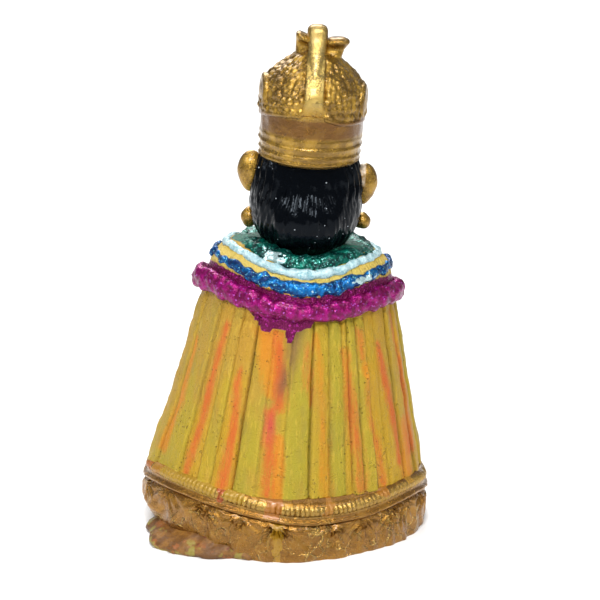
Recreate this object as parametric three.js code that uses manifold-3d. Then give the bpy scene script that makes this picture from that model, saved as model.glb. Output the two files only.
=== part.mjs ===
// A small painted cast idol, about 12 cm tall, that stands on its own flat underside.
// A crowned head with long ears and round hair rises from four garlands, over a pleated robe that ends in
// a beaded hem and a gathered flounce. The whole figure is one casting, so it is one solid.
// Millimetres, +Z up. The figure faces -Y, and the origin is the centre of its box at the underside.

import * as THREE from "three";
import { mergeVertices } from "three/addons/utils/BufferGeometryUtils.js";
import Module from "manifold-3d";

const wasm = await Module();
wasm.setup();

// Driving dimensions. A half width runs along X and a height runs up the figure's own axis.
const FIGURE_HEIGHT = 123;
const DEPTH_SHARE = 0.84; // the robe is this much less deep than it is wide
const LEAN_DEG = 4; // the uneven base tips the figure this far towards -X
const HEM_TILT_DEG = 2.4; // the hem turns back this far towards level
const HEM_TILT_TOP = 57; // above this height nothing is turned back

const ROBE_BOTTOM = 14.2;
const VALLEY_DEPTH = 1;
const VALLEY_HALF_DEG = 1.5;
// Where the valleys between the pleats lie on the back, in degrees from +X. In front they are evenly spaced.
const BACK_VALLEYS = [
  2, 15.6, 37.8, 51.9, 58.5, 68.5, 76.4, 87.4, 100.7, 107.5, 115.9, 121, 127.2, 133.4, 145.4, 162.7, 178,
];
const FRONT_VALLEY_COUNT = 14;

const FLOUNCE_GATHERS = 18;
const GATHER_DEPTH = 0.8;
const FLOUNCE_LIFT = 6.2; // the flounce clears the floor by this much on its +X side

const BASE_HALF_WIDTH = 30;
const BASE_HALF_DEPTH = 27;
const BASE_TOP = 6;
const BASE_CORNER_SHARE = 0.235; // the plaster spread at the back corner on the +X side
const BASE_CORNER_DEG = 36;
const BASE_CORNER_SPREAD_DEG = 24;

const FACE_MIDDLE_Y = -1.2;
const HAIR_FRONT_SHARE = 0.6; // in front the hair is this much less deep, behind the face
const EAR_CENTRES = [
  [13.9, -1.5, 86.1],
  [-13.8, -1.5, 85.6],
];
const EAR_HALF_SIZE = [2.6, 2.7, 4.7];
const EARRING_CENTRES = [
  [13.4, -2.2, 75.4],
  [-13.4, -2.2, 75.6],
];
const EARRING_HALF_SIZE = [2.2, 2.2, 2.4];

const DISC_RADIUS = 4.3;
const DISC_THICKNESS = 1.8;
const DISC_CENTRES = [
  [11.9, 0, 106.6],
  [-12.1, 0, 105.6],
];
const JEWEL_CENTRE = [0, -12.2, 103.6];
const JEWEL_HALF_SIZE = [3, 1.3, 4];
const PENDANT_CENTRE = [0, -22.2, 42.3];
const PENDANT_HALF_SIZE = [2.5, 1.6, 4.2];
const STRAP_WIDTH = 4.3;
const STRAP_RISE = 0.55;
const FINIAL_DEPTH = 4.8;

// Outlines, each a list of [half width, height] from the bottom up.
const ROBE_OUTLINE = [
  [29.5, 6],
  [31.4, 13.6],
  [32.6, ROBE_BOTTOM],
];
const FLOUNCE_OUTLINE = [
  [33.2, -3],
  [35.1, 2.4],
  [34.9, 6],
  [33.7, 8.4],
];
const BAND_OUTLINE = [
  [33, 7.6],
  [34.6, 8.4],
  [34.6, 9.2],
  [33.5, 9.7],
  [34, 10.5],
  [33.5, 12.3],
  [31, 13.3],
];
const HAIR_OUTLINE = [
  [6.5, 68.9],
  [8.9, 71],
  [11.2, 73.5],
  [12.7, 77],
  [13.1, 81],
  [12.9, 85],
  [12.1, 88.5],
  [10.8, 92.5],
];
const FACE_OUTLINE = [
  [3, 71],
  [6, 72.4],
  [7.9, 74],
  [8.9, 75.4],
  [9.5, 76.6],
  [9.9, 77.4],
  [10.2, 78.2],
  [10.4, 79.2],
  [10.6, 80.4],
  [10.7, 81.4],
  [10.8, 83],
  [10.8, 84.3],
  [10.8, 85.4],
  [10.7, 86.6],
  [10.6, 88.5],
  [10.2, 92.5],
];
const CROWN_BAND_OUTLINE = [
  [11.1, 91.4],
  [11.8, 92.5],
  [11.4, 93.9],
  [12.1, 95.2],
  [11.6, 96.6],
  [12.3, 97.8],
  [12, 98.8],
  [12.5, 102.6],
];
const CROWN_DOME_OUTLINE = [
  [12.1, 101.4],
  [12.5, 102.6],
  [12.3, 104.4],
  [12.1, 106.2],
  [11.7, 108],
  [11, 109.8],
  [9.7, 111.5],
  [7.9, 113],
  [6.2, 114.4],
  [5.1, 115.8],
  [4.9, 118.4],
];
const PEBBLES_FROM = 104;
const PEBBLES_TO = 114;
const PEBBLE_RISE = 0.5;

// What the garlands lie on, from the neck down over the shoulders and the robe.
const DRAPE_OUTLINE = [
  [8, 69.4],
  [13, 69.1],
  [16.8, 68.4],
  [19, 67.2],
  [20.6, 65.4],
  [21.5, 63.2],
  [22.2, 60.5],
  [23, 56.5],
  [32.6, ROBE_BOTTOM],
];
// The garlands from the neck down. side, back and front say how far down that outline each one lies, half is
// half its width there and rise is how far it stands out.
const GARLANDS = [
  { side: 7, back: 6.6, front: 10, half: 2.1, rise: 2 },
  { side: 10.4, back: 11.2, front: 15.2, half: 1.1, rise: 1.3 },
  { side: 13.4, back: 14.6, front: 21, half: 1.6, rise: 2.2 },
  { side: 18.4, back: 19, front: 30, half: 3.1, rise: 2.7 },
];

const { degToRad, lerp, smoothstep } = THREE.MathUtils;
const bump = (x, centre, spread) => Math.exp(-(((x - centre) / spread) ** 2));
const lean = new THREE.Matrix4().makeRotationY(-degToRad(LEAN_DEG));

// A closed geometry as a solid that can be joined and cut, leaning as the figure does unless it is upright.
function solidOf(geometry, upright = false) {
  const bare = geometry.clone();
  if (!upright) bare.applyMatrix4(lean);
  bare.deleteAttribute("normal");
  bare.deleteAttribute("uv");
  const merged = mergeVertices(bare, 1e-4);
  const corners = Array.from(merged.index.array);
  const triVerts = [];
  for (let i = 0; i < corners.length; i += 3) {
    const [a, b, c] = corners.slice(i, i + 3);
    if (a !== b && b !== c && c !== a) triVerts.push(a, b, c);
  }
  const vertProperties = merged.attributes.position.array;
  return new wasm.Manifold(
    new wasm.Mesh({ numProp: 3, vertProperties, triVerts: new Uint32Array(triVerts) }),
  );
}

const evenAngles = (count) => Array.from({ length: count }, (_, i) => (2 * Math.PI * i) / count);

// A turned form that may change on the way round. outlineAt(column) is its outline there, which is closed on
// the axis at both ends, and place(angle, halfWidth, height) says where a point of it goes.
function turned(angles, outlineAt, place) {
  const outlines = angles.map((angle, column) => {
    const outline = outlineAt(column, angle);
    return [[0, outline[0][1]], ...outline, [0, outline.at(-1)[1]]];
  });
  const rows = outlines[0].length;
  const profile = outlines[0].map((point) => new THREE.Vector2(...point));
  const geometry = new THREE.LatheGeometry(profile, angles.length);
  const position = geometry.attributes.position;
  for (let i = 0; i < position.count; i++) {
    const column = Math.floor(i / rows) % angles.length;
    position.setXYZ(i, ...place(angles[column], ...outlines[column][i % rows]));
  }
  return solidOf(geometry);
}

// The oval plan of the robe, and the hem's turn back towards level, which fades out up the robe.
function robed(angle, halfWidth, height) {
  const x = halfWidth * Math.cos(angle);
  const share = 1 - smoothstep(height, ROBE_BOTTOM, HEM_TILT_TOP);
  return [x, halfWidth * DEPTH_SHARE * Math.sin(angle), height - x * Math.tan(degToRad(HEM_TILT_DEG)) * share];
}

// The point this far down an outline, and the way out from it.
function alongOutline(outline, distance) {
  let left = distance;
  for (let i = 1; i < outline.length; i++) {
    const from = new THREE.Vector2(...outline[i - 1]);
    const step = new THREE.Vector2(...outline[i]).sub(from);
    if (left <= step.length() || i === outline.length - 1) {
      const out = new THREE.Vector2(-step.y, step.x).normalize();
      return { point: from.addScaledVector(step.normalize(), left), out };
    }
    left -= step.length();
  }
}

// The columns of the pleated robe: each valley has a crest on both sides, and a wide pleat one in its middle.
function pleatColumns() {
  const front = Array.from(
    { length: FRONT_VALLEY_COUNT },
    (_, i) => 180 + (180 * (i + 0.5)) / FRONT_VALLEY_COUNT,
  );
  const valleys = [...BACK_VALLEYS, ...front];
  const columns = valleys.flatMap((valley, i) => {
    const next = i + 1 < valleys.length ? valleys[i + 1] : valleys[0] + 360;
    const pleat = [
      [valley - VALLEY_HALF_DEG, 0],
      [valley, VALLEY_DEPTH],
      [valley + VALLEY_HALF_DEG, 0],
    ];
    return next - valley > 13 ? [...pleat, [(valley + next) / 2, -0.15]] : pleat;
  });
  return columns.map(([angle, sunk]) => ({ angle: degToRad(angle), sunk }));
}

// The robe, the shoulders and the garlands, which hang low in front.
function robeAndGarlands() {
  const columns = pleatColumns();
  const outlineAt = (column, angle) => {
    const { sunk } = columns[column];
    const toBack = Math.sin(angle);
    const garlands = GARLANDS.flatMap(({ side, back, front, half, rise }) => {
      const middle = toBack > 0 ? lerp(side, back, toBack ** 2) : lerp(side, front, Math.abs(toBack) ** 1.8);
      const section = half < 2 ? [[-1, 0], [0.1, 1], [1, 0]] : [[-1, 0], [-0.55, 0.85], [0.5, 1], [1, 0]];
      return section.map(([along, up]) => {
        const { point, out } = alongOutline(DRAPE_OUTLINE, middle + along * half);
        return point.addScaledVector(out, up * rise).toArray();
      });
    });
    const robe = ROBE_OUTLINE.map(([halfWidth, height]) => [halfWidth - (height < 14 ? 0 : sunk), height]);
    const top = garlands.at(-1);
    const underGarland = [top[0] - sunk, top[1] - 0.4];
    return [...robe, underGarland, ...garlands.reverse(), DRAPE_OUTLINE[0]];
  };
  const angles = columns.map((column) => column.angle);
  return turned(angles, outlineAt, robed);
}

// The gold flounce, drawn in at each gather and lifted off the floor on one side.
function flounce() {
  const perGather = [0, 0.15, 0.5, 0.85];
  const pitch = (2 * Math.PI) / FLOUNCE_GATHERS;
  const angles = evenAngles(FLOUNCE_GATHERS).flatMap((angle) => perGather.map((part) => angle + part * pitch));
  const outlineAt = (column) => {
    const puff = Math.sin(perGather[column % perGather.length] * Math.PI) ** 0.5;
    return FLOUNCE_OUTLINE.map(([halfWidth, height]) => [halfWidth - GATHER_DEPTH * (1 - puff), height]);
  };
  return turned(angles, outlineAt, (angle, halfWidth, height) => {
    const lifted = halfWidth > 0 ? Math.max(0, Math.cos(angle)) ** 3 : 1;
    return robed(angle, halfWidth, height + FLOUNCE_LIFT * lifted * (1 - smoothstep(height, -3, 8.2)));
  });
}

// The gold band over the flounce: a cord below, and above it the ridge that carries the beads.
const band = () => turned(evenAngles(36), () => BAND_OUTLINE, robed);

// The base under the flounce, spread at one back corner.
function base() {
  const outline = new THREE.Shape(
    evenAngles(40).map((angle) => {
      const oval = 1 / Math.hypot(Math.cos(angle) / BASE_HALF_WIDTH, Math.sin(angle) / BASE_HALF_DEPTH);
      const corner = bump(THREE.MathUtils.radToDeg(angle), BASE_CORNER_DEG, BASE_CORNER_SPREAD_DEG);
      const reach = oval * (1 + BASE_CORNER_SHARE * corner);
      return new THREE.Vector2(reach * Math.cos(angle), reach * Math.sin(angle));
    }),
  );
  return solidOf(new THREE.ExtrudeGeometry(outline, { depth: BASE_TOP, bevelEnabled: false }), true);
}

// The round mass of hair, flatter in front where the face is, with a groove at every other column.
function hair() {
  const grooved = (column) => HAIR_OUTLINE.map(([half, height]) => [half - (column % 2 ? 0.35 : 0), height]);
  return turned(evenAngles(40), grooved, (angle, halfWidth, height) => {
    const depth = Math.sin(angle) > 0 ? 0.96 : HAIR_FRONT_SHARE;
    return [halfWidth * Math.cos(angle), halfWidth * depth * Math.sin(angle), height];
  });
}

// How far the face stands out at x across and z up: a calm, even face on the usual thirds.
function faceRelief(x, z) {
  const across = Math.abs(x);
  const both = (atX, atZ, spreadX, spreadZ) => bump(across, atX, spreadX) * bump(z, atZ, spreadZ);
  const brow = 0.5 * both(4.3, 86.6, 2.8, 0.8);
  const socket = -0.9 * both(4.3, 84.4, 2.4, 1.3);
  const eyeball = 0.6 * both(4.3, 84.3, 1.7, 0.9);
  const bridge = 2 * bump(x, 0, 1) * (1 - smoothstep(z, 80.5, 87)) * smoothstep(z, 79.4, 80.4);
  const wings = 0.8 * both(1.5, 80.5, 0.7, 0.6);
  const cheek = 0.5 * both(6, 79.6, 2.6, 2.2);
  const lips = 0.8 * both(0, 78.5, 2, 0.5) + 0.9 * both(0, 77.2, 1.7, 0.6) - 0.4 * both(0, 77.9, 2.2, 0.25);
  const chin = 1 * both(0, 74.4, 2.6, 1.3);
  return brow + socket + eyeball + bridge + wings + cheek + lips + chin;
}

function face() {
  const half = [0, 4, 7.5, 11, 15, 19, 23, 27.5, 33, 41, 54, 72];
  const round = [...half.slice(1).reverse().map((degrees) => -degrees), ...half, 100, 140, 180, 220, 260];
  const angles = round.map((degrees) => degToRad(degrees - 90));
  return turned(angles, () => FACE_OUTLINE, (angle, halfWidth, height) => {
    const x = halfWidth * Math.cos(angle);
    const relief = halfWidth > 0 ? faceRelief(x, height) * Math.max(0, -Math.sin(angle)) : 0;
    return [x, FACE_MIDDLE_Y + halfWidth * Math.sin(angle) - relief, height];
  });
}

// A pointed egg, as the ears, earrings, jewel and pendant are, with its lower end this much narrower.
function drop(centre, halfSize, narrow) {
  const geometry = new THREE.SphereGeometry(1, 11, 7);
  geometry.rotateX(Math.PI / 2);
  const position = geometry.attributes.position;
  for (let i = 0; i < position.count; i++) {
    const taper = 1 - narrow * Math.max(0, -position.getZ(i));
    position.setXY(i, position.getX(i) * taper, position.getY(i) * taper);
  }
  geometry.scale(...halfSize).translate(...centre);
  return solidOf(geometry);
}

function earsAndJewels() {
  return [
    ...EAR_CENTRES.map((centre) => drop(centre, EAR_HALF_SIZE, 0.35)),
    ...EARRING_CENTRES.map((centre) => drop(centre, EARRING_HALF_SIZE, 0.2)),
    drop(JEWEL_CENTRE, JEWEL_HALF_SIZE, 0.3),
    drop(PENDANT_CENTRE, PENDANT_HALF_SIZE, -0.2),
  ];
}

const straight = (angle, halfWidth, height) => [halfWidth * Math.cos(angle), halfWidth * Math.sin(angle), height];

// The crown's ridged band, and its pebbled dome.
const crownBand = () => turned(evenAngles(28), () => CROWN_BAND_OUTLINE, straight);

function crownDome() {
  const pebbled = (column) =>
    CROWN_DOME_OUTLINE.map(([halfWidth, height], row) => {
      const inPebbles = height > PEBBLES_FROM && height < PEBBLES_TO;
      const raised = inPebbles && row % 2 && (column + Math.floor(row / 2)) % 2;
      return [halfWidth + (raised ? PEBBLE_RISE : 0), height];
    });
  return turned(evenAngles(40), pebbled, straight);
}

// A flat shape as a plate of this thickness, standing in the X-Z plane about its middle.
function plate(shape, thickness, options) {
  const { bevelThickness = 0 } = options;
  const depth = thickness - 2 * bevelThickness;
  const geometry = new THREE.ExtrudeGeometry(shape, { depth, curveSegments: 4, ...options });
  return geometry.translate(0, 0, -depth / 2).rotateX(Math.PI / 2);
}

// The smooth strap that runs over the crown from back to front, up to the finial.
function strap() {
  const side = CROWN_DOME_OUTLINE.slice(1, -1).map(([halfWidth, height]) => [halfWidth + STRAP_RISE, height]);
  side.push([4.4, 119], [2.9, 121.2], [2, FIGURE_HEIGHT - 0.6]);
  const points = [...side, ...side.map(([halfWidth, height]) => [-halfWidth, height]).reverse()];
  const shape = new THREE.Shape(points.map((point) => new THREE.Vector2(...point)));
  return solidOf(plate(shape, STRAP_WIDTH, { bevelEnabled: false }).rotateZ(Math.PI / 2));
}

// The finial: two curled leaves and a round knob.
function finial() {
  const shape = new THREE.Shape();
  shape.moveTo(-4.9, 113.6);
  shape.lineTo(-5.3, 116);
  shape.quadraticCurveTo(-5.8, 117.8, -6.9, 119);
  shape.quadraticCurveTo(-5.6, 120.6, -2.4, 119.6);
  shape.lineTo(-2.3, 121.6);
  shape.quadraticCurveTo(0, FIGURE_HEIGHT + 1, 2.3, 121.6);
  shape.lineTo(2.4, 119.3);
  shape.quadraticCurveTo(4.2, 120.6, 5.6, 120.4);
  shape.quadraticCurveTo(5.8, 118.4, 5.2, 116);
  shape.lineTo(4.9, 113.6);
  return solidOf(plate(shape, FINIAL_DEPTH, { bevelThickness: 0.6, bevelSize: 0.4, bevelSegments: 1 }));
}

function discs() {
  return DISC_CENTRES.map((centre) => {
    const geometry = new THREE.CylinderGeometry(DISC_RADIUS - 0.5, DISC_RADIUS, DISC_THICKNESS, 18);
    geometry.rotateZ((-Math.sign(centre[0]) * Math.PI) / 2);
    return solidOf(geometry.translate(...centre));
  });
}

// The leaning figure and its base in one, cut off flat at the floor.
function casting() {
  const parts = [base(), flounce(), band(), robeAndGarlands(), hair(), face(), ...earsAndJewels()];
  parts.push(crownBand(), crownDome(), strap(), finial(), ...discs());
  const underFloor = new THREE.BoxGeometry(200, 200, 40).translate(0, 0, -20);
  return parts.reduce((joined, part) => joined.add(part)).subtract(solidOf(underFloor, true));
}

function geometryOf(solid) {
  const mesh = solid.getMesh();
  const geometry = new THREE.BufferGeometry();
  geometry.setAttribute("position", new THREE.BufferAttribute(new Float32Array(mesh.vertProperties), 3));
  geometry.setIndex(new THREE.BufferAttribute(new Uint32Array(mesh.triVerts), 1));
  geometry.computeVertexNormals();
  return geometry;
}

const paintedPlaster = new THREE.MeshStandardMaterial({ color: 0xc2a53c, roughness: 0.55, metalness: 0 });
const idol = new THREE.Mesh(geometryOf(casting()), paintedPlaster);
idol.name = "idol";
const box = new THREE.Box3().setFromObject(idol);
const middle = box.getCenter(new THREE.Vector3());
idol.position.set(-middle.x, -middle.y, -box.min.z);

const group = new THREE.Group();
group.add(idol);
export default group;
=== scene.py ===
# %% [markdown]
# # A small painted idol, seen from behind
#
# The object is a souvenir idol about 12 cm tall. It was cast in one go in hard plaster and painted by hand,
# with a gold crown, black hair, four glitter garlands, a yellow pleated robe and a gold hem. The plain solid
# of it is already packed. This file makes a finely modelled skin over that solid and paints it, one step at
# a time.

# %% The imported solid
import math

import bmesh
import bpy
import numpy as np
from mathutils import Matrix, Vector


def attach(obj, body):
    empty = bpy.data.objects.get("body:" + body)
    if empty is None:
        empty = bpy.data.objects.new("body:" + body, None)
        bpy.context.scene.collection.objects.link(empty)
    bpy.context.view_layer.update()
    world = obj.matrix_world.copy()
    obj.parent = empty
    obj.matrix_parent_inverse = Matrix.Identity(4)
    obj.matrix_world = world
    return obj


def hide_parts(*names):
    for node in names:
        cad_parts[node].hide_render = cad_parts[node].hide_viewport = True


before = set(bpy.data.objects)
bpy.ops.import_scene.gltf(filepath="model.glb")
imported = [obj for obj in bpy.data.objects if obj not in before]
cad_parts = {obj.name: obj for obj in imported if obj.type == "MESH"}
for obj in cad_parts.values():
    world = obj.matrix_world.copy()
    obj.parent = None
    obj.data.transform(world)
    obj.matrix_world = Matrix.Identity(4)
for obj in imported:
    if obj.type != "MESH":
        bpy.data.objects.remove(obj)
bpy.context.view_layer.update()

# %% [markdown]
# ## The camera
#
# The photograph was taken from behind the figure and a little above it, so the camera looks down by 17.5
# degrees. A long lens from about 0.7 m away gives the same gentle perspective. The camera is aimed at a
# point near the middle of the figure, and its lens is worked out for a picture 600 pixels wide.

# %% The camera
MM = 0.001
CAMERA_ELEVATION = math.radians(17.5)
CAMERA_DISTANCE = 690 * MM
AIM = Vector((-3.84, 0, 55.5)) * MM
FOCAL_PIXELS, PICTURE_PIXELS = 2906, 600

camera = bpy.data.objects.new("camera", bpy.data.cameras.new("camera"))
bpy.context.collection.objects.link(camera)
towards_camera = Vector((0, math.cos(CAMERA_ELEVATION), math.sin(CAMERA_ELEVATION)))
camera.location = AIM + towards_camera * CAMERA_DISTANCE
camera.rotation_euler = (math.pi / 2 - CAMERA_ELEVATION, 0, math.pi)
camera.data.lens = camera.data.sensor_width * FOCAL_PIXELS / PICTURE_PIXELS
camera.data.clip_start, camera.data.clip_end = 0.05, 20
bpy.context.scene.camera = camera
print("lens", round(camera.data.lens, 1), "mm")

# %% [markdown]
# ## The upright figure
#
# The real idol stands on an uneven base, so it leans a few degrees. Everything is easier to shape on an
# upright figure, in millimetres, so the lean is put on last. The same numbers turn a finished point back to
# its upright place, which the paints use later.

# %% Lean and height
LEAN = math.radians(4)
# the leaning figure is moved this far to one side, to stand in the middle of the frame
CENTRE_SHIFT = 0.42
HEAD_HEIGHT = 110
# the plan of the robe: how deep it is for its width in front and behind, and how round its back is
DEPTH_SHARE = 0.84
BACK_SHARE, BACK_POWER = 0.82, 1.75
# the hem turns back towards level, from its bottom up to a height where nothing is turned
HEM_TILT = math.tan(math.radians(2.4))
ROBE_BOTTOM, HEM_TILT_TOP = 14.2, 57


def leaning(points):
    """Points of the upright figure moved to where they are on the leaning one."""
    x, y, z = np.moveaxis(np.asarray(points, float), -1, 0)
    cos, sin = math.cos(LEAN), math.sin(LEAN)
    return np.stack([x * cos - z * sin + CENTRE_SHIFT, y, x * sin + z * cos], -1)


def upright(points):
    """The way back: points of the leaning figure moved to where they are on the upright one."""
    x, y, z = np.moveaxis(np.asarray(points, float), -1, 0)
    x = x - CENTRE_SHIFT
    cos, sin = math.cos(LEAN), math.sin(LEAN)
    return np.stack([x * cos + z * sin, y, z * cos - x * sin], -1)


def smooth_step(value, low, high):
    """0 at low, 1 at high and smooth in between. With low above high it falls instead."""
    t = np.clip((value - low) / (high - low), 0, 1)
    return t * t * (3 - 2 * t)


def bump(value, centre, spread):
    """1 at the centre, falling smoothly to nothing a few spreads away."""
    return np.exp(-(((value - centre) / spread) ** 2))


def about_axis(reach, degrees, height):
    """Points this far out from the upright axis, at these angles and heights."""
    reach, degrees, height = np.broadcast_arrays(reach, degrees, height)
    return np.stack([reach * np.cos(np.radians(degrees)), reach * np.sin(np.radians(degrees)), height], -1)


def robed(angle, half_width, height):
    """A point of the robe: oval in front and flatter behind, with the hem turned back towards level."""
    x = half_width * np.cos(angle)
    behind = np.maximum(0, 1 - np.abs(np.cos(angle)) ** BACK_POWER) ** (1 / BACK_POWER)
    y = half_width * np.where(np.sin(angle) > 0, BACK_SHARE * behind, DEPTH_SHARE * np.sin(angle))
    share = 1 - smooth_step(height, ROBE_BOTTOM, HEM_TILT_TOP)
    return np.stack([x, y, height - x * HEM_TILT * share], -1)


def by_angle(table, degrees, soft=5):
    """A number that changes round the figure, from a table of (angle, value), with soft corners."""
    at, values = zip(*table)
    degrees = np.asarray(degrees, float)
    turns = [np.interp(degrees + shift, at, values, period=360) for shift in (-soft, 0, soft)]
    return sum(turns) / 3


print("the head stands", round(HEAD_HEIGHT * math.sin(LEAN), 1), "mm to one side of the base")

# %% [markdown]
# ## Hand-made unevenness
#
# Nothing on the casting is perfectly regular. A sum of a few waves in random directions gives soft bumps of
# one size, and a fixed seed makes them the same on every run.

# %% Unevenness
def unevenness(points, size, seed, waves=14):
    """Soft bumps about this many mm across, mostly between -1 and 1."""
    chance = np.random.default_rng(seed)
    directions = chance.normal(size=(waves, 3))
    directions /= np.linalg.norm(directions, axis=1, keepdims=True)
    directions *= (math.pi / size * chance.uniform(0.7, 1.4, waves))[:, None]
    phases = chance.uniform(0, 2 * math.pi, waves)
    return np.cos(np.asarray(points) @ directions.T + phases).sum(-1) / math.sqrt(waves)


scattered = np.random.default_rng(1).normal(size=(999, 3)) * 20
print("bumps reach", np.round(np.abs(unevenness(scattered, 3, 1)).max(), 2))

# %% [markdown]
# ## Skins
#
# Each form of the figure is a stack of rings of points, closed at both ends, or a loop of rings for a rope.
# Closed skins can be joined into one casting later. Each one carries the paint that it gets.

# %% Closed skins
PAINT_NAMES = (
    "robe_yellow", "trim_gold", "hair_black", "glitter_green", "glitter_white", "glitter_blue",
    "glitter_magenta", "face_gold", "base_plaster",
)
paints = {name: bpy.data.materials.new(name) for name in PAINT_NAMES}
skins = []


def skin(points, faces, paint):
    """Adds a closed mesh of upright points in mm, with its faces turned outwards."""
    # the mesh encloses a negative volume if its faces are turned inwards
    triangles = [(face[0], face[i], face[i + 1]) for face in faces for i in range(1, len(face) - 1)]
    a, b, c = np.moveaxis(points[np.array(triangles)], 1, 0)
    if np.einsum("ij,ij->i", a, np.cross(b, c)).sum() < 0:
        faces = [face[::-1] for face in faces]
    mesh = bpy.data.meshes.new(paint)
    mesh.from_pydata(points.tolist(), [], faces)
    mesh.materials.append(paints[paint])
    made = bpy.data.objects.new(paint, mesh)
    bpy.context.collection.objects.link(made)
    skins.append(made)


def quads_between(rings, around, wrap):
    """The faces between rings of points, and with wrap also from the last ring to the first."""
    here = np.arange(around)
    after = (here + 1) % around
    low = np.arange(rings if wrap else rings - 1)[:, None] * around
    high = (low + around) % (rings * around)
    return np.stack([low + here, low + after, high + after, high + here], -1).reshape(-1, 4).tolist()


def stacked(rings, paint):
    """A closed skin through rings of points, with a fan over each end."""
    rings = np.asarray(rings, float)
    count, around = rings.shape[:2]
    points = np.vstack([rings.reshape(-1, 3), rings[0].mean(0), rings[-1].mean(0)])
    low_tip, high_tip = count * around, count * around + 1
    faces = quads_between(count, around, wrap=False)
    top = (count - 1) * around
    for i in range(around):
        after = (i + 1) % around
        faces += [[low_tip, after, i], [high_tip, top + i, top + after]]
    skin(points, faces, paint)


def looped(rings, paint):
    """A closed rope: every ring is a section of it, and the last joins the first."""
    rings = np.asarray(rings, float)
    count, around = rings.shape[:2]
    skin(rings.reshape(-1, 3), quads_between(count, around, wrap=True), paint)


def outline_at(outline, heights):
    """The half widths of an outline of (half width, height) points at these heights."""
    halves, levels = zip(*outline)
    return np.interp(heights, levels, halves)


def softened(values, passes=1):
    """A row of numbers with its corners rounded."""
    for _ in range(passes):
        inner = (values[:-2] + 2 * values[1:-1] + values[2:]) / 4
        values = np.concatenate([values[:1], inner, values[-1:]])
    return values


print(len(paints), "paints to fill in")

# %% [markdown]
# ## The robe
#
# The robe is a cone with an oval plan. Narrow valleys part its pleats, and they are unevenly spaced, as a
# hand-carved mould leaves them. Going down the outline from the neck, the same curve also carries the
# shoulders that the garlands lie on. Each pleat gets a slope of its own, so its edges catch light unevenly.

# %% The outline from neck to hem
DRAPE = np.array([
    (8, 69.4), (13, 69.1), (16.8, 68.4), (19, 67.2), (20.6, 65.4), (21.5, 63.2), (22.2, 60.5), (23, 56.5),
    (32.6, ROBE_BOTTOM),
])
steps = np.linalg.norm(np.diff(DRAPE, axis=0), axis=1)
DRAPE_AT = np.concatenate([[0], np.cumsum(steps)])
# the shoulders stand higher at the sides than in the middle of the back
SHOULDERS = [
    (0, 1.2), (15, 1.9), (30, 2.3), (45, 1.8), (60, 0.9), (75, 0), (90, -0.5), (105, -0.3), (120, 0.6),
    (135, 1.5), (150, 2), (165, 1.6), (180, 0.9), (205, 0.9), (270, 0.4), (335, 0.9),
]


def drape(distance):
    """The (half width, height) this many mm down the outline, and the way out from it and down it."""
    distance = np.asarray(distance, float)

    def point(at):
        return np.stack([np.interp(at, DRAPE_AT, DRAPE[:, 0]), np.interp(at, DRAPE_AT, DRAPE[:, 1])], -1)

    down = point(np.minimum(distance + 0.8, DRAPE_AT[-1])) - point(np.maximum(distance - 0.8, 0))
    down /= np.linalg.norm(down, axis=-1, keepdims=True)
    out = np.stack([-down[..., 1], down[..., 0]], -1)
    return point(distance), out, down


def shoulder_rise(degrees, height):
    """How much higher the shoulders stand at this angle. Lower down, the robe isn't raised."""
    return by_angle(SHOULDERS, degrees, 8) * smooth_step(height, 52, 61)


def ring_about(degrees, half_widths, heights):
    """Points of the robe's own plan, at these angles in degrees."""
    degrees, half_widths, heights = np.broadcast_arrays(degrees, half_widths, heights)
    return robed(np.radians(degrees), half_widths, heights)


def draped(angle, half_width, height):
    """A point of the robe or of what lies on its shoulders."""
    return robed(angle, half_width, height + shoulder_rise(np.degrees(angle), height))


print("from neck to hem", round(DRAPE_AT[-1], 1), "mm")

# %% Pleats
BACK_VALLEYS = [
    2, 17.5, 38, 49, 56, 66.5, 76.6, 87.4, 99.4, 108.6, 116.2, 119.6, 125.5, 132.4, 139.4, 152, 164.5, 178,
]
FRONT_PLEATS = 14
FRONT_VALLEYS = [180 + 180 * (i + 0.5) / FRONT_PLEATS for i in range(FRONT_PLEATS)]
VALLEYS = np.array(BACK_VALLEYS + FRONT_VALLEYS)
chance = np.random.default_rng(11)
valley_depths = chance.uniform(0.3, 1.2, len(VALLEYS))
pleat_slopes = chance.uniform(-0.6, 0.6, len(VALLEYS))
pleat_levels = chance.uniform(-0.3, 0.25, len(VALLEYS))
pleat_tones = chance.uniform(0, 0.8, len(VALLEYS))
# four of the pleats washed with orange stand a little lower, and five pleats have a green of their own
pleat_levels[[6, 8, 10, 13]] = (-0.45, -0.35, -0.3, -0.4)
pleat_tones[[3, 5, 7, 9, 11]] = (0.6, 0.9, 1, 1, 0.8)


def pleat_at(degrees):
    """For each angle: its pleat, how far across that it is, the degrees to a valley, and which valley."""
    degrees = np.asarray(degrees) % 360
    pleat = (np.searchsorted(VALLEYS, degrees, side="right") - 1) % len(VALLEYS)
    start = VALLEYS[pleat]
    width = (VALLEYS[(pleat + 1) % len(VALLEYS)] - start) % 360
    across = ((degrees - start) % 360) / width
    near = np.minimum(across, 1 - across) * width
    valley = np.where(across < 0.5, pleat, (pleat + 1) % len(VALLEYS))
    return pleat, across, near, valley


def pleat_depth(degrees):
    """How far the robe sinks below its outline: sharp in the valleys, rounded at the pleats' edges."""
    pleat, across, near, valley = pleat_at(degrees)
    sunk = valley_depths[valley] * np.exp(-((near / 0.6) ** 1.5)) + 0.06 * bump(near, 0, 1.4)
    flat = smooth_step(near, 0, 0.9)
    return sunk - flat * (pleat_slopes[pleat] * (across - 0.5) + pleat_levels[pleat])


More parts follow.
